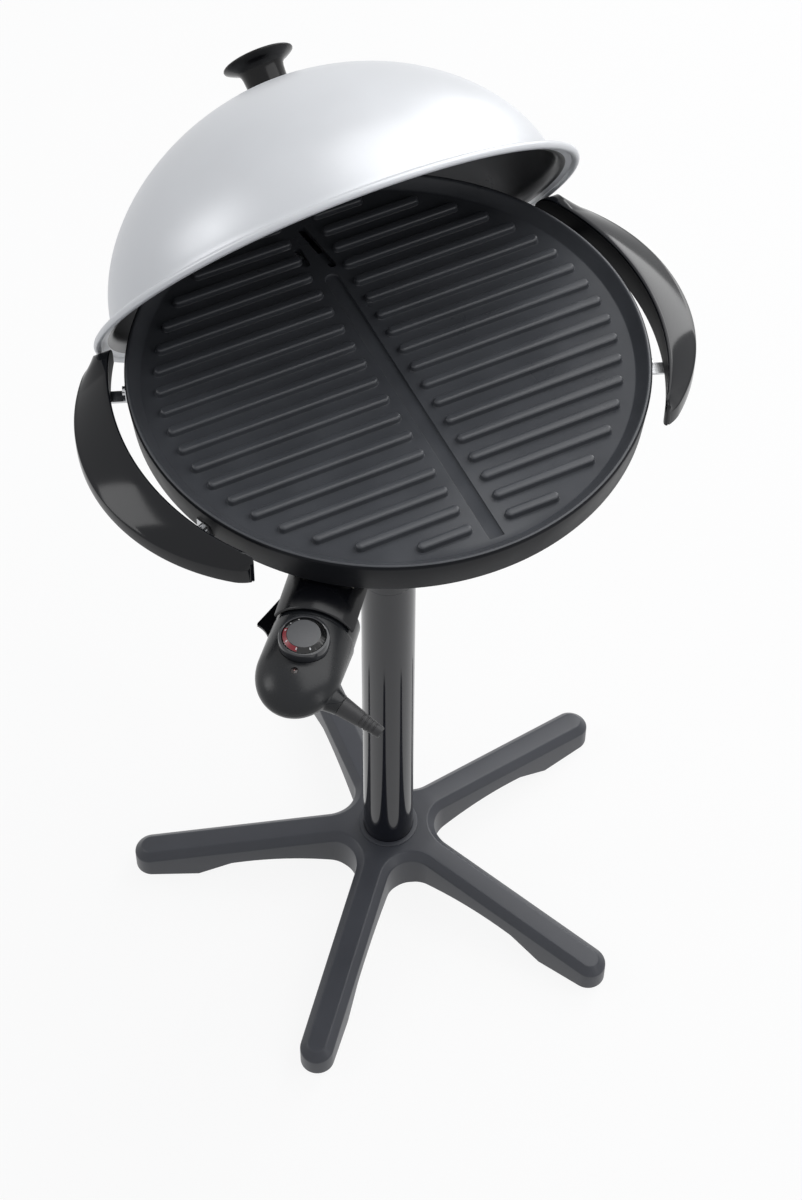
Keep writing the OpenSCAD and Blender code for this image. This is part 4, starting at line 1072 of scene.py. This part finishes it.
def dial_mark(shape, r0, r1, a0, a1, high=0.12):
    """A thin printed patch between two radii and two bearings on the dial's sloping rim."""
    steps = max(2, int(abs(a1 - a0) / 3))
    rows = []
    for lift in (-0.05, high):
        for r in (r0, r1):
            z = DIAL_TOP + lift - CONE_DROP * (r - DISC_R) / (CONE_R - DISC_R)
            rows.append(loop(shape, [(DIAL_X + r * cos(radians(a0 + (a1 - a0) * k / steps)),
                                      r * sin(radians(a0 + (a1 - a0) * k / steps)), z)
                                     for k in range(steps + 1)]))
    low_in, low_out, high_in, high_out = rows
    skin_along(shape, [low_in, low_out, high_out, high_in, low_in], closed=False)
    shape.faces.new([row[0] for row in (low_in, high_in, high_out, low_out)])
    shape.faces.new([row[-1] for row in (low_in, low_out, high_out, high_in)])


dial_grey = grained("dial grey", tone(80, 81, 83), 0.36, grain=2400, depth=0.00003)
dial_black = grained("dial black", tone(20, 20, 21), 0.16, grain=600, depth=0.00001)
print_red = grained("print red", tone(140, 26, 40), 0.3, grain=2000, depth=0.00002)
print_white = grained("print white", tone(225, 225, 225), 0.45, grain=2000, depth=0.00002)
cap = fit("dial_cap", dial(), "dial", dial_black, ["dial_knob"], sharp=30,
          place=control_turn)
coat(cap, dial_grey, lambda p: p.z > DIAL_TOP - 0.1 and hypot(p.x - DIAL_X, p.y) < DISC_R,
     control_turn)
red_arc = bmesh.new()
dial_mark(red_arc, *RED_ARC)
fit("dial_red_arc", red_arc, "dial", print_red, place=control_turn)
white_marks = bmesh.new()
for bearing in MARK_BEARINGS:
    dial_mark(white_marks, MARK_FROM, MARK_TO, bearing - MARK_HALF, bearing + MARK_HALF, 0.16)
fit("dial_white_marks", white_marks, "dial", print_white, place=control_turn)

# ----------------------------------------------------------
# Dial ring and indicator. A dark see-through ring, polished all over, is pressed into the well
# round the dial; in front of it a small lens shows when the element is on.
RING_GAP = 0.3
RING_WALL = 2.5
LENS_R = 2.95
LENS_LOW = 738.5
LENS_TOP = 747
LENS_MIDDLE_R = 0.6


def ring():
    inner, outer = DIAL_R + RING_GAP, DIAL_R + RING_GAP + RING_WALL
    profile = [(inner, WELL_Z), (outer, WELL_Z), (outer, WELL_Z + 10.6),
               (outer - 0.3, WELL_Z + 11.3), (outer - 1.0, WELL_Z + 11.7),
               (inner + 0.5, WELL_Z + 11.7), (inner, WELL_Z + 11.3)]
    return turned(bmesh.new(), profile, 160, place=Matrix.Translation((DIAL_X, 0, 0)))


ring_gloss = grained("ring gloss", tone(52, 53, 56), 0.06, grain=300, depth=0.00001)
fit("dial_bezel", ring(), "thermostat", ring_gloss, ["dial_ring"],
    place=control_turn)
lens = turned(bmesh.new(), [(0, LENS_LOW), (LENS_R, LENS_LOW), (LENS_R, LENS_TOP - 0.9),
                            (LENS_R - 0.35, LENS_TOP - 0.5), (1.0, LENS_TOP - 0.3),
                            (LENS_MIDDLE_R, LENS_TOP - 0.1), (0, LENS_TOP)], 48, closed=False,
              place=Matrix.Translation((LENS_X, 0, 0)))
lens_gloss = grained("lens gloss", tone(38, 30, 30), 0.14, grain=300, depth=0.00001)
# painted highlight: a lighter colour on the small flat at the top of the lens stands for the glint
# of light on it
lens_painted_highlight = grained("lens painted highlight", tone(150, 112, 108), 0.3, grain=300, depth=0.00001)
dome = fit("indicator_dome", lens, "thermostat", lens_gloss, ["indicator_lens"],
           place=control_turn)
# the painted highlight goes on the small flat at the top of the lens dome
coat(dome, lens_painted_highlight,
     lambda p: p.z > LENS_TOP - 0.35 and hypot(p.x - LENS_X, p.y) < LENS_MIDDLE_R, control_turn)

# ----------------------------------------------------------
# Strain relief. A tapered boot of soft black rubber with shallow rings, pushed into the spout;
# the cord would come out of the hole at its end.
BOOT_LONG = 38
BOOT_ROOT_R = 8.5
BOOT_END_R = 4.6
BOOT_BORE_R = 3.4
BOOT_BORE_LONG = 26
BOOT_RINGS = (19.5, 23.5, 27.5, 31.5)


def boot():
    slope = (BOOT_ROOT_R - BOOT_END_R) / BOOT_LONG
    profile = [(0, 0)] + [(BOOT_ROOT_R - slope * z, z) for z in (0, 3, 10, 16)]
    for z in BOOT_RINGS:
        r = BOOT_ROOT_R - slope * z
        profile += [(r + 0.05, z - 0.7), (r - 0.35, z - 0.4), (r - 0.4, z), (r - 0.35, z + 0.4),
                    (r + 0.05, z + 0.7)]
    profile += [(BOOT_END_R + 0.35, BOOT_LONG - 1.2), (BOOT_END_R + 0.1, BOOT_LONG - 0.3),
                (BOOT_END_R - 0.4, BOOT_LONG), (BOOT_BORE_R, BOOT_LONG),
                (BOOT_BORE_R, BOOT_LONG - BOOT_BORE_LONG), (0, BOOT_LONG - BOOT_BORE_LONG)]
    return turned(bmesh.new(), profile, 72, closed=False, place=spout_place)


boot_rubber = grained("boot rubber", tone(36, 36, 38), 0.5, grain=1500, depth=0.00006)
fit("cord_boot", boot(), "thermostat", boot_rubber, ["strain_relief"],
    place=control_turn)

# ----------------------------------------------------------
# Studio. White floor and surround, one broad soft lamp above, softer ones at the sides, and the
# camera high in front on the left.
CAMERA_DOWN = 0.92810
CAMERA_TURN = -0.44780
camera_data = bpy.data.cameras.new("camera")
camera = put("camera", camera_data)
bpy.context.scene.camera = camera
camera.location = (-0.673879, -1.403039, 2.533234)
camera.rotation_euler = (pi / 2 - CAMERA_DOWN, 0, CAMERA_TURN)
camera_data.sensor_fit = "HORIZONTAL"
camera_data.sensor_width = 36
camera_data.lens = 125.448
camera_data.shift_x = 0.01577


def white_rays(nodes, links):
    """A socket that is 1 for rays from the camera, through glass or off a glossy surface."""
    path = add_node(nodes, "LightPath")
    found = path.outputs["Is Camera Ray"]
    for kind in ("Is Transmission Ray", "Is Glossy Ray"):
        either = add_node(nodes, "Math")
        either.operation = "MAXIMUM"
        links.new(found, either.inputs[0])
        links.new(path.outputs[kind], either.inputs[1])
        found = either.outputs[0]
    return found


def mixed(nodes, links, share, lit, white, output):
    """Shows the white to that share of the rays, and the other to the rest."""
    blend = add_node(nodes, "MixShader")
    links.new(share, blend.inputs[0])
    links.new(lit.outputs[0], blend.inputs[1])
    links.new(white.outputs[0], blend.inputs[2])
    links.new(blend.outputs[0], nodes[output].inputs["Surface"])


FLOOR_HALF = 9
FLOOR_WHITE = 0.9
floor_mesh = bpy.data.meshes.new("floor")
floor_mesh.from_pydata([(x * FLOOR_HALF, y * FLOOR_HALF, 0)
                        for x, y in ((-1, -1), (1, -1), (1, 1), (-1, 1))], [], [(0, 1, 2, 3)])
floor = put("floor", floor_mesh)
floor_paint = bpy.data.materials.new("floor paint")
floor_paint.use_nodes = True
nodes, links = floor_paint.node_tree.nodes, floor_paint.node_tree.links
paint = nodes["Principled BSDF"]
paint.inputs["Base Color"].default_value = (0.9, 0.9, 0.9, 1)
paint.inputs["Roughness"].default_value = 0.9
paint.inputs["Specular IOR Level"].default_value = 0.0
white = add_node(nodes, "Emission", {"Strength": 1.0})
# a tenth of the painted floor stays under the white, so that the shadow shows
share = add_node(nodes, "Math")
share.operation = "MULTIPLY"
share.inputs[1].default_value = FLOOR_WHITE
links.new(white_rays(nodes, links), share.inputs[0])
mixed(nodes, links, share.outputs[0], paint, white, "Material Output")
floor_mesh.materials.append(floor_paint)

world = bpy.data.worlds.new("studio")
bpy.context.scene.world = world
world.use_nodes = True
nodes, links = world.node_tree.nodes, world.node_tree.links
background = nodes["Background"]
background.inputs["Color"].default_value = (0.9, 0.93, 1.0, 1)
background.inputs["Strength"].default_value = 0.3
clean = add_node(nodes, "Background", {"Color": (1, 1, 1, 1), "Strength": 1.0})
mixed(nodes, links, white_rays(nodes, links), background, clean, "World Output")


def lamp(name, place, aim, width, height, power):
    """A soft box of that size, aimed at a point."""
    data = bpy.data.lights.new(name, "AREA")
    data.shape = "RECTANGLE"
    data.size = width
    data.size_y = height
    data.energy = power
    box = put(name, data)
    box.location = place
    box.rotation_euler = (Vector(aim) - Vector(place)).to_track_quat("-Z", "Y").to_euler()


lamp("top box", (1.5, 0.1, 3.1), (0, 0, 0.7), 3.2, 3.2, 66)
lamp("left box", (-2.4, 1.3, 2.3), (0, 0, 0.7), 0.9, 1.4, 14)
lamp("right box", (2.7, 1.5, 1.7), (0, 0, 0.7), 1.3, 1.6, 24)
lamp("front box", (1.6, -2.6, 1.5), (0, 0, 0.5), 0.5, 2.2, 9)

bpy.context.scene.view_settings.view_transform = "Standard"
